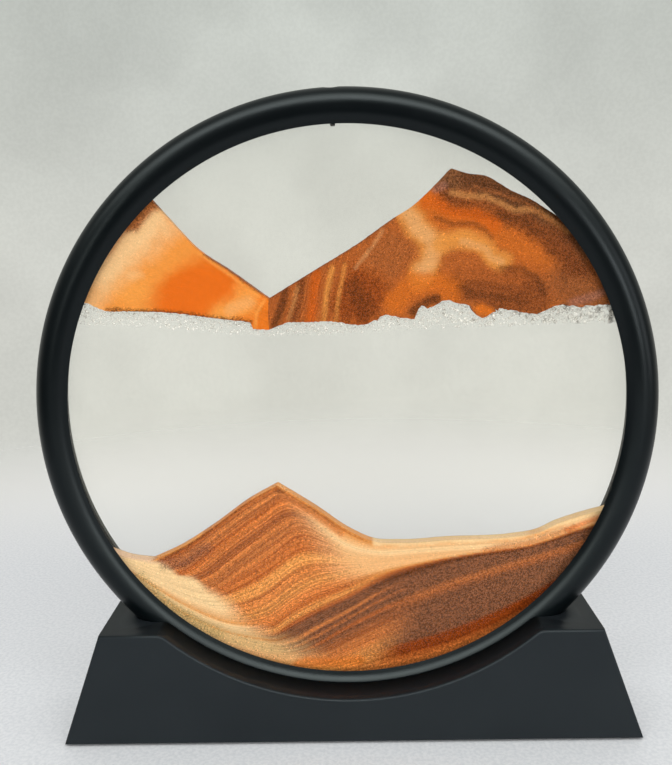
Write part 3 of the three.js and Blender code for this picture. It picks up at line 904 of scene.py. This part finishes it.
right_strokes = [
    ("walnut", 12, 0.55, 0.15, [(64, 40), (70, 35), (75, 31)]),
    ("bright", 8, 0.5, 0.04, [(22, 58), (32, 55), (44, 50), (56, 45)]),
    ("walnut", 6, 0.95, 0.25, [(29.5, 64), (34, 64.5), (41.6, 62.5), (49, 58.5), (57, 53.5), (65, 46)]),
    ("umber", 2.6, 0.6, 0.25, [(35, 63.2), (42, 61.2), (49, 58), (55.5, 54.6), (63, 48.5)]),
    ("chestnut", 3.2, 0.8, 0.25, [(28.3, 59), (34.3, 56.9), (43.2, 54.3), (49.1, 52.2), (54.2, 48.5),
                                  (59, 44.6), (66, 39)]),
    ("umber", 1.2, 0.5, 0.25, [(43, 54.6), (49.1, 52.7), (54, 48.6)]),
    ("gold", 0.9, 0.75, 0.06, [(30, 60.6), (34.2, 59.5), (39.2, 59.4), (44.1, 57.1), (47.1, 55.6),
                               (52, 55.5), (56.5, 53), (61.6, 49.4)]),
    ("sienna", 0.5, 0.6, 0.1, [(36, 62), (43, 60), (50, 57.2), (57, 52)]),
    ("rose", 1.2, 0.4, 0.08, [(25.5, 61.3), (28, 62.4)]),
    ("fire", 2.2, 0.6, 0.02, [(21.5, 59), (25.4, 58.3), (31.3, 55), (37, 54.6), (41.7, 51.4)]),
    ("chestnut", 0.9, 0.55, 0.12, [(25.9, 53.9), (30.3, 51.9), (36.3, 52), (39.3, 50), (41, 48)]),
    ("apricot", 4, 0.85, 0.02, [(18, 56.3), (20.9, 51.4), (24.4, 46), (23, 41), (21, 38)]),
    ("peach", 2.6, 0.6, 0.03, [(17.9, 56.3), (20.9, 51.4), (25, 47.3), (24.4, 43.4), (21.8, 39.5)]),
    ("apricot", 2.8, 0.85, 0.02, [(26.4, 47.3), (34.3, 47.6), (39.3, 46), (41, 43), (44.4, 41.5)]),
    ("peach", 1.2, 0.4, 0.03, [(33, 47.2), (39.3, 45.5), (41, 43), (44, 41.6)]),
    ("chestnut", 4.6, 0.75, 0.2, [(33, 35), (44.5, 34.5), (52, 34), (54, 30), (42, 30.5)]),
    ("umber", 1.1, 0.5, 0.2, [(44, 40), (49.4, 39.4), (53.4, 37), (55.5, 32.8)]),
    ("umber", 1.2, 0.45, 0.2, [(33, 35), (37, 32.5), (44.5, 31.5), (50, 30.5)]),
    ("copper", 1.2, 0.6, 0.08, [(33, 38), (42, 37.2), (49, 36)]),
    ("chestnut", 4, 0.7, 0.22, [(58, 49), (61.8, 42.6), (62, 40)]),
    ("rose", 1.5, 0.4, 0.12, [(63.5, 29.8), (69.6, 31.4), (74, 33.5)]),
    ("rust", 5, 0.7, 0.25, [(1, 29.4), (4.2, 36.9), (8.2, 33.8), (5.1, 27.8)]),
    ("umber", 3, 0.4, 0.3, [(3, 35.5), (5, 31), (6.5, 28)]),
    ("sienna", 4, 0.6, 0.15, [(9.3, 43.7), (12.9, 48.1), (16.4, 44.6), (13.3, 41.7)]),
    ("bright", 4, 0.7, 0.05, [(14.2, 31.6), (18.3, 35.6), (27, 36), (30, 34)]),
    ("umber", 1.5, 0.75, 0.25, [(26, 32), (23.3, 31.4), (19, 28.3)]),
    ("peach", 0.6, 0.3, 0.04, [(11, 51), (8.2, 46.6), (6.4, 44.2), (3.4, 40.6)]),
    ("apricot", 0.9, 0.7, 0.06, [(-3, 41), (-6, 26)]),
    ("fire", 1.6, 0.7, 0.06, [(-7, 39.5), (-10, 26)]),
    ("apricot", 0.7, 0.5, 0.06, [(0.5, 42), (-2.5, 26)]),
    ("chestnut", 1.3, 0.7, 0.25, [(-11, 38), (-14, 27)]),
    ("gold", 0.7, 0.7, 0.06, [(-12.5, 36), (-15.5, 27)]),
    ("umber", 1.5, 0.7, 0.25, [(-16, 34.5), (-19.2, 25.5)]),
    ("brown", 0.5, 0.7, 0.2, [(-20.8, 33), (-7.7, 40.6), (4.4, 47.6), (14.4, 54.3)]),
    ("bright", 1.6, 0.85, 0.05, [(38, 28.6), (41, 27.5)]),
]
print("strokes:", len(left_strokes), "on the left heap and", len(right_strokes), "on the right one")

# %% [markdown]
# ## The layers of the dune
# Sand that runs down through the bubbles lays itself in thin layers. Each layer of this dune comes down along
# the ring on the left, turns, climbs the slope, bends over the crest and runs out to the right. A few guide
# lines hold that course, and a point's depth between them, its stratum, drives the stripes. A layer is cream
# on the foot, striped on the slope and cream or brown beyond the crest, so each stretch has its own colours.

# %% Guide lines of the layers
guides = [
    dune_top,
    line([(-74, -40), (-65, -43.5), (-51, -48.5), (-36.5, -38), (-25, -30), (-18.5, -26), (-11, -30.5),
          (-1, -38.5), (6.5, -41), (15, -41), (32, -40), (52.5, -38.8), (67, -33.6), (82, -29)]),
    line([(-74, -40.3), (-59, -47.8), (-50.5, -51), (-42.5, -52.5), (-32.5, -45.5), (-21.5, -37.5),
          (-14, -33), (-7, -36.3), (0.5, -41), (9, -43), (21, -42.5), (52.5, -39.5), (67, -34.5), (82, -30)]),
    line([(-74, -40.8), (-59.5, -50), (-48, -57), (-33.5, -61.5), (-26.5, -60), (-16, -52.5), (-11.5, -50),
          (-2.5, -48), (21, -45), (35.5, -42.8), (52.5, -40.3), (67, -35.5), (82, -31)]),
    line([(-74, -41.4), (-59.5, -52.3), (-48, -60.5), (-35.5, -66.5), (-27, -67.8), (-22.5, -67.3),
          (-18.5, -64.5), (0, -55), (11, -49.3), (22, -46), (42.5, -42.5), (52.5, -41.2), (67, -36.5),
          (82, -32)]),
    line([(-74, -42.2), (-65.5, -48), (-48, -62.5), (-32.5, -68.7), (-16.5, -70.5), (-11.5, -67.5), (0, -61),
          (9, -55.5), (21, -50), (35.5, -45.5), (52.5, -42.5), (67, -38), (82, -33)]),
    line([(-74, -43.4), (-60, -55.9), (-48.5, -65), (-32.5, -71.5), (-15.5, -73.5), (0, -65), (15, -57.5),
          (30, -51.5), (44.5, -47), (59, -42.7), (82, -35.5)]),
    line([(-74, -44.6), (-60, -57.7), (-48.5, -67), (-32.5, -73.7), (-15.5, -76.3), (-8, -75.5), (0, -72),
          (15, -64.5), (30, -58), (59.5, -48), (82, -39.5)]),
    line([(-74, -47), (-60, -60.5), (-33, -77), (-15.5, -80), (-3.5, -78.5), (9, -74), (30, -68), (55, -56),
          (62.5, -51), (82, -43)]),
    line([(-74, -58), (-40, -84), (0, -92), (40, -82), (82, -52)]),
]
turn_x = [-58, -51, -43, -34, -27, -19, -16, -11, -6, -2]
turn_width = [3, 3, 4, 9, 14, 16, 16, 14, 12, 10]
crest_x = [-14, -12, -8, -2, 8, 12, 14, 14, 8, 4]


def stratum(points):
    """The layer that each point lies in, counted from the dune's surface down."""
    x, z = points.T
    lowered = np.array([guide(x) - 1e-3 * order for order, guide in enumerate(guides)])
    heights = np.minimum.accumulate(lowered)
    above = np.clip((heights > z).sum(0) - 1, 0, len(guides) - 2)
    here = np.arange(len(x))
    top, under = heights[above, here], heights[above + 1, here]
    return above + np.clip((top - z) / (top - under), 0, 1)


def layer_colours(depth, stops):
    """The pigment at each stratum, from a list of strata and pigments."""
    at = [d for d, _ in stops]
    rgb = np.array([pigments[name] for _, name in stops])
    return np.stack([np.interp(depth, at, rgb[:, i]) for i in range(3)], 1)


# %% Colours and strokes of the dune
foot_layers = [
    (0, "blush"), (0.5, "cream"), (2.8, "cream"), (3.3, "peach"), (3.5, "amber"), (3.7, "cream"),
    (4.4, "straw"), (4.6, "amber"), (4.8, "straw"), (5.8, "straw"), (6.6, "peach"), (7.9, "amber"),
    (9, "orange"),
]
slope_layers = [
    (0, "amber"), (0.05, "umber"), (0.16, "copper"), (0.28, "sienna"), (0.45, "orange"), (0.62, "sienna"),
    (0.8, "orange"), (1, "copper"), (1.25, "orange"), (1.5, "sienna"), (1.7, "orange"), (1.95, "sienna"),
    (2.15, "orange"), (2.45, "copper"), (2.6, "amber"), (2.85, "orange"), (3.1, "amber"), (3.4, "orange"),
    (3.7, "copper"), (3.9, "amber"), (4.1, "copper"), (4.3, "brown"), (4.75, "brown"), (4.9, "orange"),
    (5.05, "brown"), (5.3, "brown"), (5.42, "orange"), (5.55, "brown"), (5.9, "brown"), (6.05, "copper"),
    (6.2, "brown"), (6.6, "sienna"), (7.2, "orange"), (8, "amber"), (8.4, "orange"), (9, "bright"),
]
lee_layers = [
    (0, "amber"), (0.15, "copper"), (0.35, "amber"), (0.9, "peach"), (1.6, "cream"), (2.4, "peach"),
    (3.3, "peach"), (3.7, "amber"), (3.95, "copper"), (4.15, "chestnut"), (4.4, "umber"), (4.8, "brown"),
    (5.3, "brown"), (5.8, "brown"), (6.2, "sienna"), (6.6, "brown"), (7.4, "brown"),
    (7.85, "brown"), (7.97, "rust"), (8.13, "rust"), (8.22, "copper"), (8.4, "orange"), (9, "bright"),
]
dune_strokes = [
    ("mauve", 2.2, 0.55, 0.3, [(-55, -45), (-49, -44.5), (-42, -40.5)]),
    ("apricot", 0.5, 0.9, 0.0, [(-57, -43.1), (-49.7, -39.6), (-43, -35.6)]),
    ("copper", 0.35, 0.6, 0.1, [(-43, -35.8), (-30, -26.6), (-20.6, -21.6)]),
    ("chestnut", 0.7, 0.7, 0.15, [(-20.4, -22.6), (-9.5, -29.6), (-3, -34.4)]),
    ("cream", 1, 0.95, 0.0, [(8, -39.1), (15.6, -39.7), (29.4, -39), (48.5, -38.3), (61, -34.6),
                             (75, -30.4)]),
    ("fire", 1, 0.55, 0.05, [(64, -36.2), (70, -33.8), (77, -31.6)]),
    ("bright", 2, 0.6, 0.1, [(-16, -77.5), (2, -77.2)]),
    ("olive", 2.2, 0.45, 0.22, [(-62, -49), (-55, -57), (-45, -64), (-39, -67.5)]),
    ("orange", 1.2, 0.7, 0.08, [(-18, -24.5), (-9, -31), (-2, -36)]),
    ("copper", 1.2, 0.5, 0.15, [(40, -42.2), (52, -40.2), (66, -35.6)]),
]
print("dune:", len(guides) - 1, "layers and", len(dune_strokes), "strokes")

# %% [markdown]
# Where a layer turns from foot to slope, and from slope to lee, differs with its depth. The dark layers and
# the deep ones beyond the crest are the grainiest. The stripes calm down on the foot and beyond the crest.

# %% Paint of the dune
dune_shade = 0.96
dune_stray = dict(size=0.7, wave=4.0, seed=9.0)
lee_width = 18
dark_tone, dark_reach = 0.3, 0.2
coarse_depth = 4.2
odd_anywhere, odd_slope, odd_dark, odd_foot, odd_lee = 0.02, 0.11, 0.2, 0.05, 0.25
foot_calm, lee_calm = 0.6, 0.65


def dune_paint(points):
    """Pigment, stratum and strength of the stripes over the dune."""
    x = stray(points, **dune_stray)[:, 0]
    depth = stratum(points)
    levels = np.arange(len(guides))
    past_turn = (x - np.interp(depth, levels, turn_x)) / np.interp(depth, levels, turn_width)
    foot = eased(0.5 - past_turn)[:, None]
    lee = eased(0.5 + (x - np.interp(depth, levels, crest_x)) / lee_width)[:, None]
    rgb = layer_colours(depth, slope_layers)
    rgb = rgb + (layer_colours(depth, lee_layers) - rgb) * lee
    rgb = rgb + (layer_colours(depth, foot_layers) - rgb) * foot
    dark = eased((dark_tone - rgb[:, :1]) / dark_reach)
    deep = eased(depth[:, None] - coarse_depth)
    odd = odd_anywhere + odd_slope * (1 - foot) * (1 - lee)
    odd = odd + odd_dark * dark + (odd_foot * foot + odd_lee * lee) * deep
    rgba = paint(points, np.hstack([rgb, odd]), dune_strokes)
    stripes = (1 - foot * foot_calm) * (1 - lee * lee_calm)
    return rgba * [dune_shade, dune_shade, dune_shade, 1], depth, stripes[:, 0]


# %% [markdown]
# The heaps have no layers, but their marbling runs in a direction as well: round the crown on the right, down
# the slope by the valley. A made-up stratum holds that direction, and weak stripes follow it.

# %% Colours of the heaps
valley_x, valley_reach, valley_strength = -10, 20, 0.8
heap_stray = dict(size=1.5, wave=8.0, seed=2.0)
crown_x, crown_z, crown_bend, crown_layer = 30, 66, 0.012, 5
crown_from, crown_reach = 4, 16
right_lean, right_layer = 0.3, 8
left_lean, left_layer = 0.5, 6


def heap_paint(base, odd, shade, strokes, run, strength):
    """The colours of a heap: strokes over a base, darker by a shade; stripes are strong by the valley."""

    def colours(points):
        ground = np.tile(np.append(pigments[base], odd), (len(points), 1))
        rgba = paint(points, ground, strokes) * [shade, shade, shade, 1]
        by_valley = 1 - eased(abs(points[:, 0] - valley_x) / valley_reach)
        return rgba, run(points), strength + (valley_strength - strength) * by_valley

    return colours


def right_run(points):
    """The direction of the marbling on the right: round the crown, and down the slope by the valley."""
    x, z = stray(points, **heap_stray).T
    round_crown = (z - crown_z + crown_bend * (x - crown_x) ** 2) / crown_layer
    down_slope = (x - right_lean * z) / right_layer
    return down_slope + (round_crown - down_slope) * eased((x - crown_from) / crown_reach)


def left_run(points):
    """The direction of the marbling on the left: along the slope."""
    x, z = stray(points, **heap_stray).T
    return (z + left_lean * x) / left_layer


# %% [markdown]
# ## Grains
# Up close the sand is grains of about a third of a millimetre. Modelled grains would be millions of faces,
# so a Voronoi pattern gives each grain its own tone and picks the odd dark or light ones by the share kept on
# the mesh. The stripes are noise that is stretched along the layers, because it reads the stratum instead of
# the place, and each grain shifts its stratum a little, so that a stripe ends in grains.

# %% Sand finish
grain_size, grain_stray = 0.32 * MM, 0.03
band_noise = dict(per_layer=3.4, per_metre=10.0, seed=1.0)
line_noise = dict(per_layer=26.0, per_metre=18.0, seed=6.0)
band_span, line_span, line_share = (0.36, 0.64), (0.4, 0.6), 0.7
dark_stripe, light_stripe = (0.6, 0.49, 0.49, 1.0), (1.25, 1.36, 1.46, 1.0)
mottle_scale, mottle_low, mottle_high = 600.0, 0.5, 1.5
grainy_share, calm_swing, grainy_swing = 0.25, 0.07, 0.44
dark_grain, light_grain = 0.58, 1.5
dark_edge, light_edge = (0.0, 0.03), (0.98, 1.02)


def grainy_sand(start):
    place = object_place(start)
    pigment = kept(start, "pigment", "Color")
    cells = start.node("ShaderNodeTexVoronoi", None, {"Vector": place, "Scale": 1 / grain_size}, "Color")
    tone = start.node("ShaderNodeSeparateColor", None, {0: cells}, "Red")
    pick = tone.also("Green")
    x = start.node("ShaderNodeSeparateXYZ", None, {0: place}, "X")
    depth = kept(start, "stratum") + (tone - 0.5) * grain_stray

    def layers(per_layer, per_metre, seed):
        spot = start.node("ShaderNodeCombineXYZ", None, {0: x * per_metre, 1: depth * per_layer, 2: seed})
        return clouds(spot, 1.0, roughness=0.6)

    bands = layers(**band_noise).span(*band_span)
    lines = layers(**line_noise).span(*line_span)
    banded = bands * (1 - line_share) + lines * line_share
    striped = banded.mix(pigment.tinted(dark_stripe), pigment.tinted(light_stripe))
    layered = kept(start, "stripes").mix(pigment, striped)

    mottle = clouds(place, mottle_scale, detail=3.0).span(*cloud_span, mottle_low, mottle_high)
    share = pigment.also("Alpha") * mottle
    swing = share.span(0.0, grainy_share, calm_swing, grainy_swing)
    toned = layered.times(1 + (tone - 0.5) * 2 * swing)
    is_dark = (share - pick).span(*dark_edge)
    is_light = (pick + share * 0.5).span(*light_edge)
    grains = is_light.mix(is_dark.mix(toned, layered.times(dark_grain)), layered.times(light_grain))
    bumps = relief(tone, strength=0.05, distance=0.1 * MM)
    return principled(start, base_color=grains, roughness=0.9, specular_ior_level=0.1, normal=bumps)


sand = finish("grainy sand", grainy_sand)

# %% [markdown]
# ## From lines to beds
# Each bed takes its triangles, front and back, and closes its rim with a wall, so that it is one closed slab
# between the panes. The colours ride along as attributes of its points. The rim by the rear pane gets
# painted shade: the wall has an inner row of points, and its last row is darker.

# %% Slabs
edge_row = 0.25
# how dark the painted shade along the rim by the rear pane is
edge_shade = 0.45
cell_depths = (sand_front, sand_back - edge_row, sand_back)


def slab(name, chosen, places):
    """A closed slab over chosen triangles of the cell, the flat place of its points, and those on its rim."""
    used, index = np.unique(chosen, return_inverse=True)
    faces = index.reshape(chosen.shape)
    flat = places[used]
    a, b, c = (flat[faces[:, i]] for i in range(3))
    turned = (b - a)[:, 0] * (c - a)[:, 1] - (b - a)[:, 1] * (c - a)[:, 0] < 0
    faces[turned] = faces[turned][:, ::-1]
    sides = {edge for face in faces.tolist() for edge in zip(face, face[1:] + face[:1])}
    rim = [edge for edge in sides if edge[::-1] not in sides]
    on_rim = np.unique([i for edge in rim for i in edge])
    row = {corner: place for place, corner in enumerate(on_rim.tolist())}
    front, inner, back = cell_depths
    count = len(used)
    points = np.concatenate([
        np.insert(flat, 1, front, axis=1),
        np.insert(flat, 1, back, axis=1),
        np.insert(flat[on_rim], 1, inner, axis=1),
    ])
    walls = []
    for a, b in rim:
        c, d = 2 * count + row[a], 2 * count + row[b]
        walls += [(b, a, c, d), (d, c, a + count, b + count)]
    rear = faces[:, ::-1] + count
    mesh = new_mesh(name, points * MM + np.array(centre), [*faces.tolist(), *rear.tolist(), *walls])
    return mesh, flat, on_rim


def carry(mesh, name, kind, values):
    """Keeps a value of each point on the mesh, for its finish to read."""
    attribute = mesh.attributes.new(name, kind, "POINT")
    field = "color" if kind == "FLOAT_COLOR" else "value"
    attribute.data.foreach_set(field, np.asarray(values, np.float32).ravel())


def sand_bed(name, chosen, colours, slot, *nodes):
    """A slab of sand with its colours, as a piece of the disc."""
    mesh, flat, on_rim = slab(name, chosen, cell_points)
    rgba, depth, stripes = colours(flat)
    rear = rgba.copy()
    # painted shade: the rim's last row, by the rear pane, is darker
    rear[on_rim, :3] *= edge_shade
    carry(mesh, "pigment", "FLOAT_COLOR", np.concatenate([rgba, rear, rgba[on_rim]]))
    carry(mesh, "stratum", "FLOAT", np.concatenate([depth, depth, depth[on_rim]]))
    carry(mesh, "stripes", "FLOAT", np.concatenate([stripes, stripes, stripes[on_rim]]))
    add_piece(name, mesh, sand, "disc", slot, *nodes)


left_of_valley = mid_x < np.interp(mid_z, valley[::-1, 1], valley[::-1, 0])
in_dune = in_cell & (mid_z < dune_top(mid_x))
in_heaps = in_cell & (mid_z < heap_top(mid_x)) & (mid_z > heap_under(mid_x))
sand_bed(
    "dune_sand", cell_triangles[in_dune], dune_paint, "striped_sand",
    "lower_sand_foot", "lower_sand_dune", "lower_sand_crest", "lower_sand_body", "lower_sand_rim",
)
sand_bed(
    "left_heap_sand", cell_triangles[in_heaps & left_of_valley],
    heap_paint("bright", odd=0.0, shade=0.92, strokes=left_strokes, run=left_run, strength=0.08),
    "orange_sand", "upper_sand_left",
)
sand_bed(
    "right_heap_sand", cell_triangles[in_heaps & ~left_of_valley],
    heap_paint("copper", odd=0.1, shade=0.77, strokes=right_strokes, run=right_run, strength=0.25),
    "orange_sand", "upper_sand_right", "upper_sand_crown",
)

# %% [markdown]
# ## Water
# The water fills what the sand leaves free, above the heaps and below them. Its slabs end a hair away from
# the sand's lines, because two faces in the same place would show through each other at random.

# %% Water
water_gap = 0.1
near_line = 1.2


def clear_of_sand(points):
    """The cell's points, with those on the sand's lines moved a hair into the water."""
    x, z = points.T
    above = (abs(z - dune_top(x)) < near_line) | (abs(z - heap_top(x)) < near_line)
    below = abs(z - heap_under(x)) < near_line
    return points + np.outer(np.where(above, water_gap, np.where(below, -water_gap, 0)), (0, 1))


def water_body(name, chosen):
    mesh, _, _ = slab(name, chosen, clear_of_sand(cell_points))
    add_piece(name, mesh, cell_water, "disc", "water", name.replace("_body", ""))


above_heaps = in_cell & (mid_z > heap_top(mid_x)) & (mid_z > heap_under(mid_x))
water_body("upper_water_body", cell_triangles[above_heaps])
water_body("lower_water_body", cell_triangles[in_cell & (mid_z < heap_under(mid_x)) & ~in_dune])

# %% [markdown]
# ## Bubbles
# Trapped air holds the upper sand up as a band of fine foam, with larger bubbles towards the right end. They
# are too many to place, so a geometry tree strews points over the band, more of them under the sand than at
# the band's foot, and puts a small sphere on each. In water a bubble is nearly clear in the middle and darker
# at its rim, and the smallest look like white dots; a random tone per bubble chooses between the two.

# %% Bubble finish
white_tones = (0.35, 0.5)
# the darker rim is painted shade, in place of the light that a real bubble bends away at its edge
rim_shade_span, covered_rim = (0.55, 0.9), (0.5, 1.0)
middle_cover, rim_cover, white_cover = 0.2, 0.6, 0.6
middle_tint, rim_shade_tint, white_tint = (0.96, 0.93, 0.85, 1.0), (0.42, 0.38, 0.31, 1.0), (0.97, 0.95, 0.88, 1.0)


def foam_bubbles(start):
    rim = start.node("ShaderNodeLayerWeight", None, {"Blend": 0.5}, "Facing")
    white = kept(start, "tone").span(*white_tones)
    cover = rim.span(*covered_rim, middle_cover, rim_cover) * (1 - white) + white * white_cover
    tint = white.mix(rim.span(*rim_shade_span).mix(middle_tint, rim_shade_tint), white_tint)
    air = principled(start, base_color=tint, roughness=0.15, specular_ior_level=0.6)
    return blend(cover, unseen(start), air)


bubble_air = finish("air bubbles", foam_bubbles)

# %% Tree of the bubbles
size_seed, depth_seed, tone_seed = 3, 5, 8
large_from, left_growth = (0.02, 0.07), 0.3
large_clear, foot_clear = 0.5, 0.4
ball_segments, ball_rings = 8, 5


def strewn_bubbles(start, sizes):
    fill = start.node("GeometryNodeInputNamedAttribute", {"data_type": "FLOAT"}, {"Name": "fill"})
    strewing = {"Mesh": start, "Density": sizes["Density"] * fill, "Seed": sizes["Seed"]}
    spread = start.node("GeometryNodeDistributePointsOnFaces", None, strewing)

    def chance(seed):
        """A random value from 0 to 1 for each bubble."""
        inputs = {2: 0.0, 3: 1.0, "Seed": seed}
        return start.node("FunctionNodeRandomValue", {"data_type": "FLOAT"}, inputs, 1)

    along = start.node("ShaderNodeSeparateXYZ", None, {0: start.node("GeometryNodeInputPosition")}, "X")
    size = chance(size_seed)
    growth = size * size * size * along.span(*large_from, left_growth, 1.0)
    radius = sizes["Smallest"] + growth * (sizes["Largest"] - sizes["Smallest"])
    into = start.node("ShaderNodeCombineXYZ", None, {1: chance(depth_seed) * sizes["Depth"]})
    placed = start.node("GeometryNodeSetPosition", None, {"Geometry": spread, "Offset": into})
    tone = chance(tone_seed) - growth * large_clear - (1 - fill) * foot_clear
    per_point = {"data_type": "FLOAT", "domain": "POINT"}
    toned = start.node(
        "GeometryNodeStoreNamedAttribute", per_point, {"Geometry": placed, "Name": "tone", "Value": tone},
    )
    sphere = {"Segments": ball_segments, "Rings": ball_rings, "Radius": 1.0}
    ball = start.node("GeometryNodeMeshUVSphere", None, sphere)
    smooth = start.node("GeometryNodeSetShadeSmooth", None, {"Geometry": ball})
    setting = {"Points": toned, "Instance": smooth, "Scale": radius}
    return ended(start.node("GeometryNodeInstanceOnPoints", None, setting), bubble_air)


bubble_tree = geometry_tree(
    "strewn bubbles",
    {
        "Density": "NodeSocketFloat", "Seed": "NodeSocketInt", "Smallest": "NodeSocketFloat",
        "Largest": "NodeSocketFloat", "Depth": "NodeSocketFloat",
    },
    strewn_bubbles,
)

# %% Bubbles
bubble_inset, band_share = 0.5, 0.985
foot_fill, full_rise = 0.2, 2.0
in_band = in_cell & (mid_z < heap_under(mid_x)) & (mid_z > bubble_foot(mid_x))
band_used, band_index = np.unique(cell_triangles[in_band], return_inverse=True)
band_flat = cell_points[band_used]
band_points = np.insert(band_flat * band_share, 1, sand_front + bubble_inset, axis=1)
band = new_mesh("band", band_points * MM + np.array(centre), band_index.reshape(-1, 3).tolist())
rise = (band_flat[:, 1] - bubble_foot(band_flat[:, 0])) / full_rise
carry(band, "fill", "FLOAT", foot_fill + (1 - foot_fill) * eased(rise))
bubbles = grown(bubble_tree, band, **{
    "Density": 6e6, "Seed": 11, "Smallest": 0.13 * MM, "Largest": 1.0 * MM,
    "Depth": (sand_back - sand_front - 2 * bubble_inset) * MM,
})
add_piece("bubble_foam", bubbles, bubble_air, "disc", "bubbles", "bubble_layer")

# %% [markdown]
# ## Screws and pads
# Four zinc-plated screws with a crossed drive hold the bottom cover, and four foam pads stand on the table.
# Each is put together once from cylinders, cones and boxes, and one tree sets it at its four places.

# %% Metal finish
zinc_scale, zinc_smooth, zinc_rough = 900.0, 0.25, 0.4


def turned_zinc(start):
    cloud = clouds(object_place(start), zinc_scale, detail=3.0)
    tint = cloud.mix(colour("9fa2a4"), colour("b4b6b8"))
    rough = cloud.span(*cloud_span, zinc_smooth, zinc_rough)
    return principled(start, base_color=tint, metallic=1.0, roughness=rough)


zinc = finish("zinc plated steel", turned_zinc)

# %% Four at a time
small_crease = 30
corners = [(side, depth) for depth in ("front", "rear") for side in ("left", "right")]


def node_names(stem):
    return [f"{stem}_{depth}_{side}" for side, depth in corners]


def places(stem):
    """One loose point for each of the four nodes, at the middle of its underside."""
    boxes = [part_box(node) for node in node_names(stem)]
    return new_mesh(stem, [((low.x + high.x) / 2, (low.y + high.y) / 2, low.z) for low, high in boxes])


def four_times(build, material):
    """What a geometry tree does to set one built thing on each point of the start mesh."""

    def draw(start, sizes):
        spots = start.node("GeometryNodeMeshToPoints", None, {"Mesh": start})
        setting = {"Points": spots, "Instance": build(start, sizes)}
        return ended(start.node("GeometryNodeInstanceOnPoints", None, setting), material)

    return draw


def set_of_four(stem, piece_name, build, sizes, material, slot):
    """Grows four copies of one thing at the places of its nodes, as one piece of the stand."""
    lengths = dict.fromkeys(sizes, "NodeSocketFloat")
    tree = geometry_tree(piece_name.replace("_", " "), lengths, four_times(build, material))
    mesh = grown(tree, places(stem), **{key: size * MM for key, size in sizes.items()})
    smooth_by_angle(mesh, small_crease)
    add_piece(piece_name, mesh, material, "stand", slot, *node_names(stem))


# %% Screws
head_sides, shank_sides = 40, 24
screw_sizes = {
    "Head Radius": 2.7, "Head Height": 1.2, "Round": 0.3, "Shank": 1.4, "Length": 8.0,
    "Slot Length": 3.2, "Slot Width": 0.7, "Slot Depth": 0.7,
}


def one_screw(start, sizes):
    """A screw that points up, its head's face at the origin."""
    head, thickness, edge = sizes["Head Radius"], sizes["Head Height"], sizes["Round"]
    shank, length = sizes["Shank"], sizes["Length"]
    rim = raised(cylinder(start, head_sides, head, thickness - edge), (thickness + edge) * 0.5)
    face = cone(start, head_sides, head - edge, head, edge)
    pin = raised(cylinder(start, shank_sides, shank, length - shank), thickness + (length - shank) * 0.5)
    tip = raised(cone(start, shank_sides, shank, 0.0, shank), thickness + length - shank)
    bars = []
    for across, along in (("Slot Length", "Slot Width"), ("Slot Width", "Slot Length")):
        spans = {0: sizes[across], 1: sizes[along], 2: sizes["Slot Depth"] * 2}
        box = start.node("ShaderNodeCombineXYZ", None, spans)
        bars.append(start.node("GeometryNodeMeshCube", None, {"Size": box}))
    solid, cross = joined(start, rim, face, pin, tip), joined(start, *bars)
    meshes = {"Mesh 1": solid, "Mesh 2": cross, "Self Intersection": True}
    return start.node("GeometryNodeMeshBoolean", cut_away, meshes)


set_of_four("cover_screw", "cover_screws", one_screw, screw_sizes, zinc, "zinc_steel")

# %% Pads
pad_sides = 48
pad_sizes = {"Radius": 4.2, "Thickness": 1.5}


def one_pad(start, sizes):
    """A round pad that stands on the origin."""
    return raised(cylinder(start, pad_sides, sizes["Radius"], sizes["Thickness"]), sizes["Thickness"] * 0.5)


set_of_four("foot_pad", "foot_pads", one_pad, pad_sizes, black_foam, "foam_rubber")
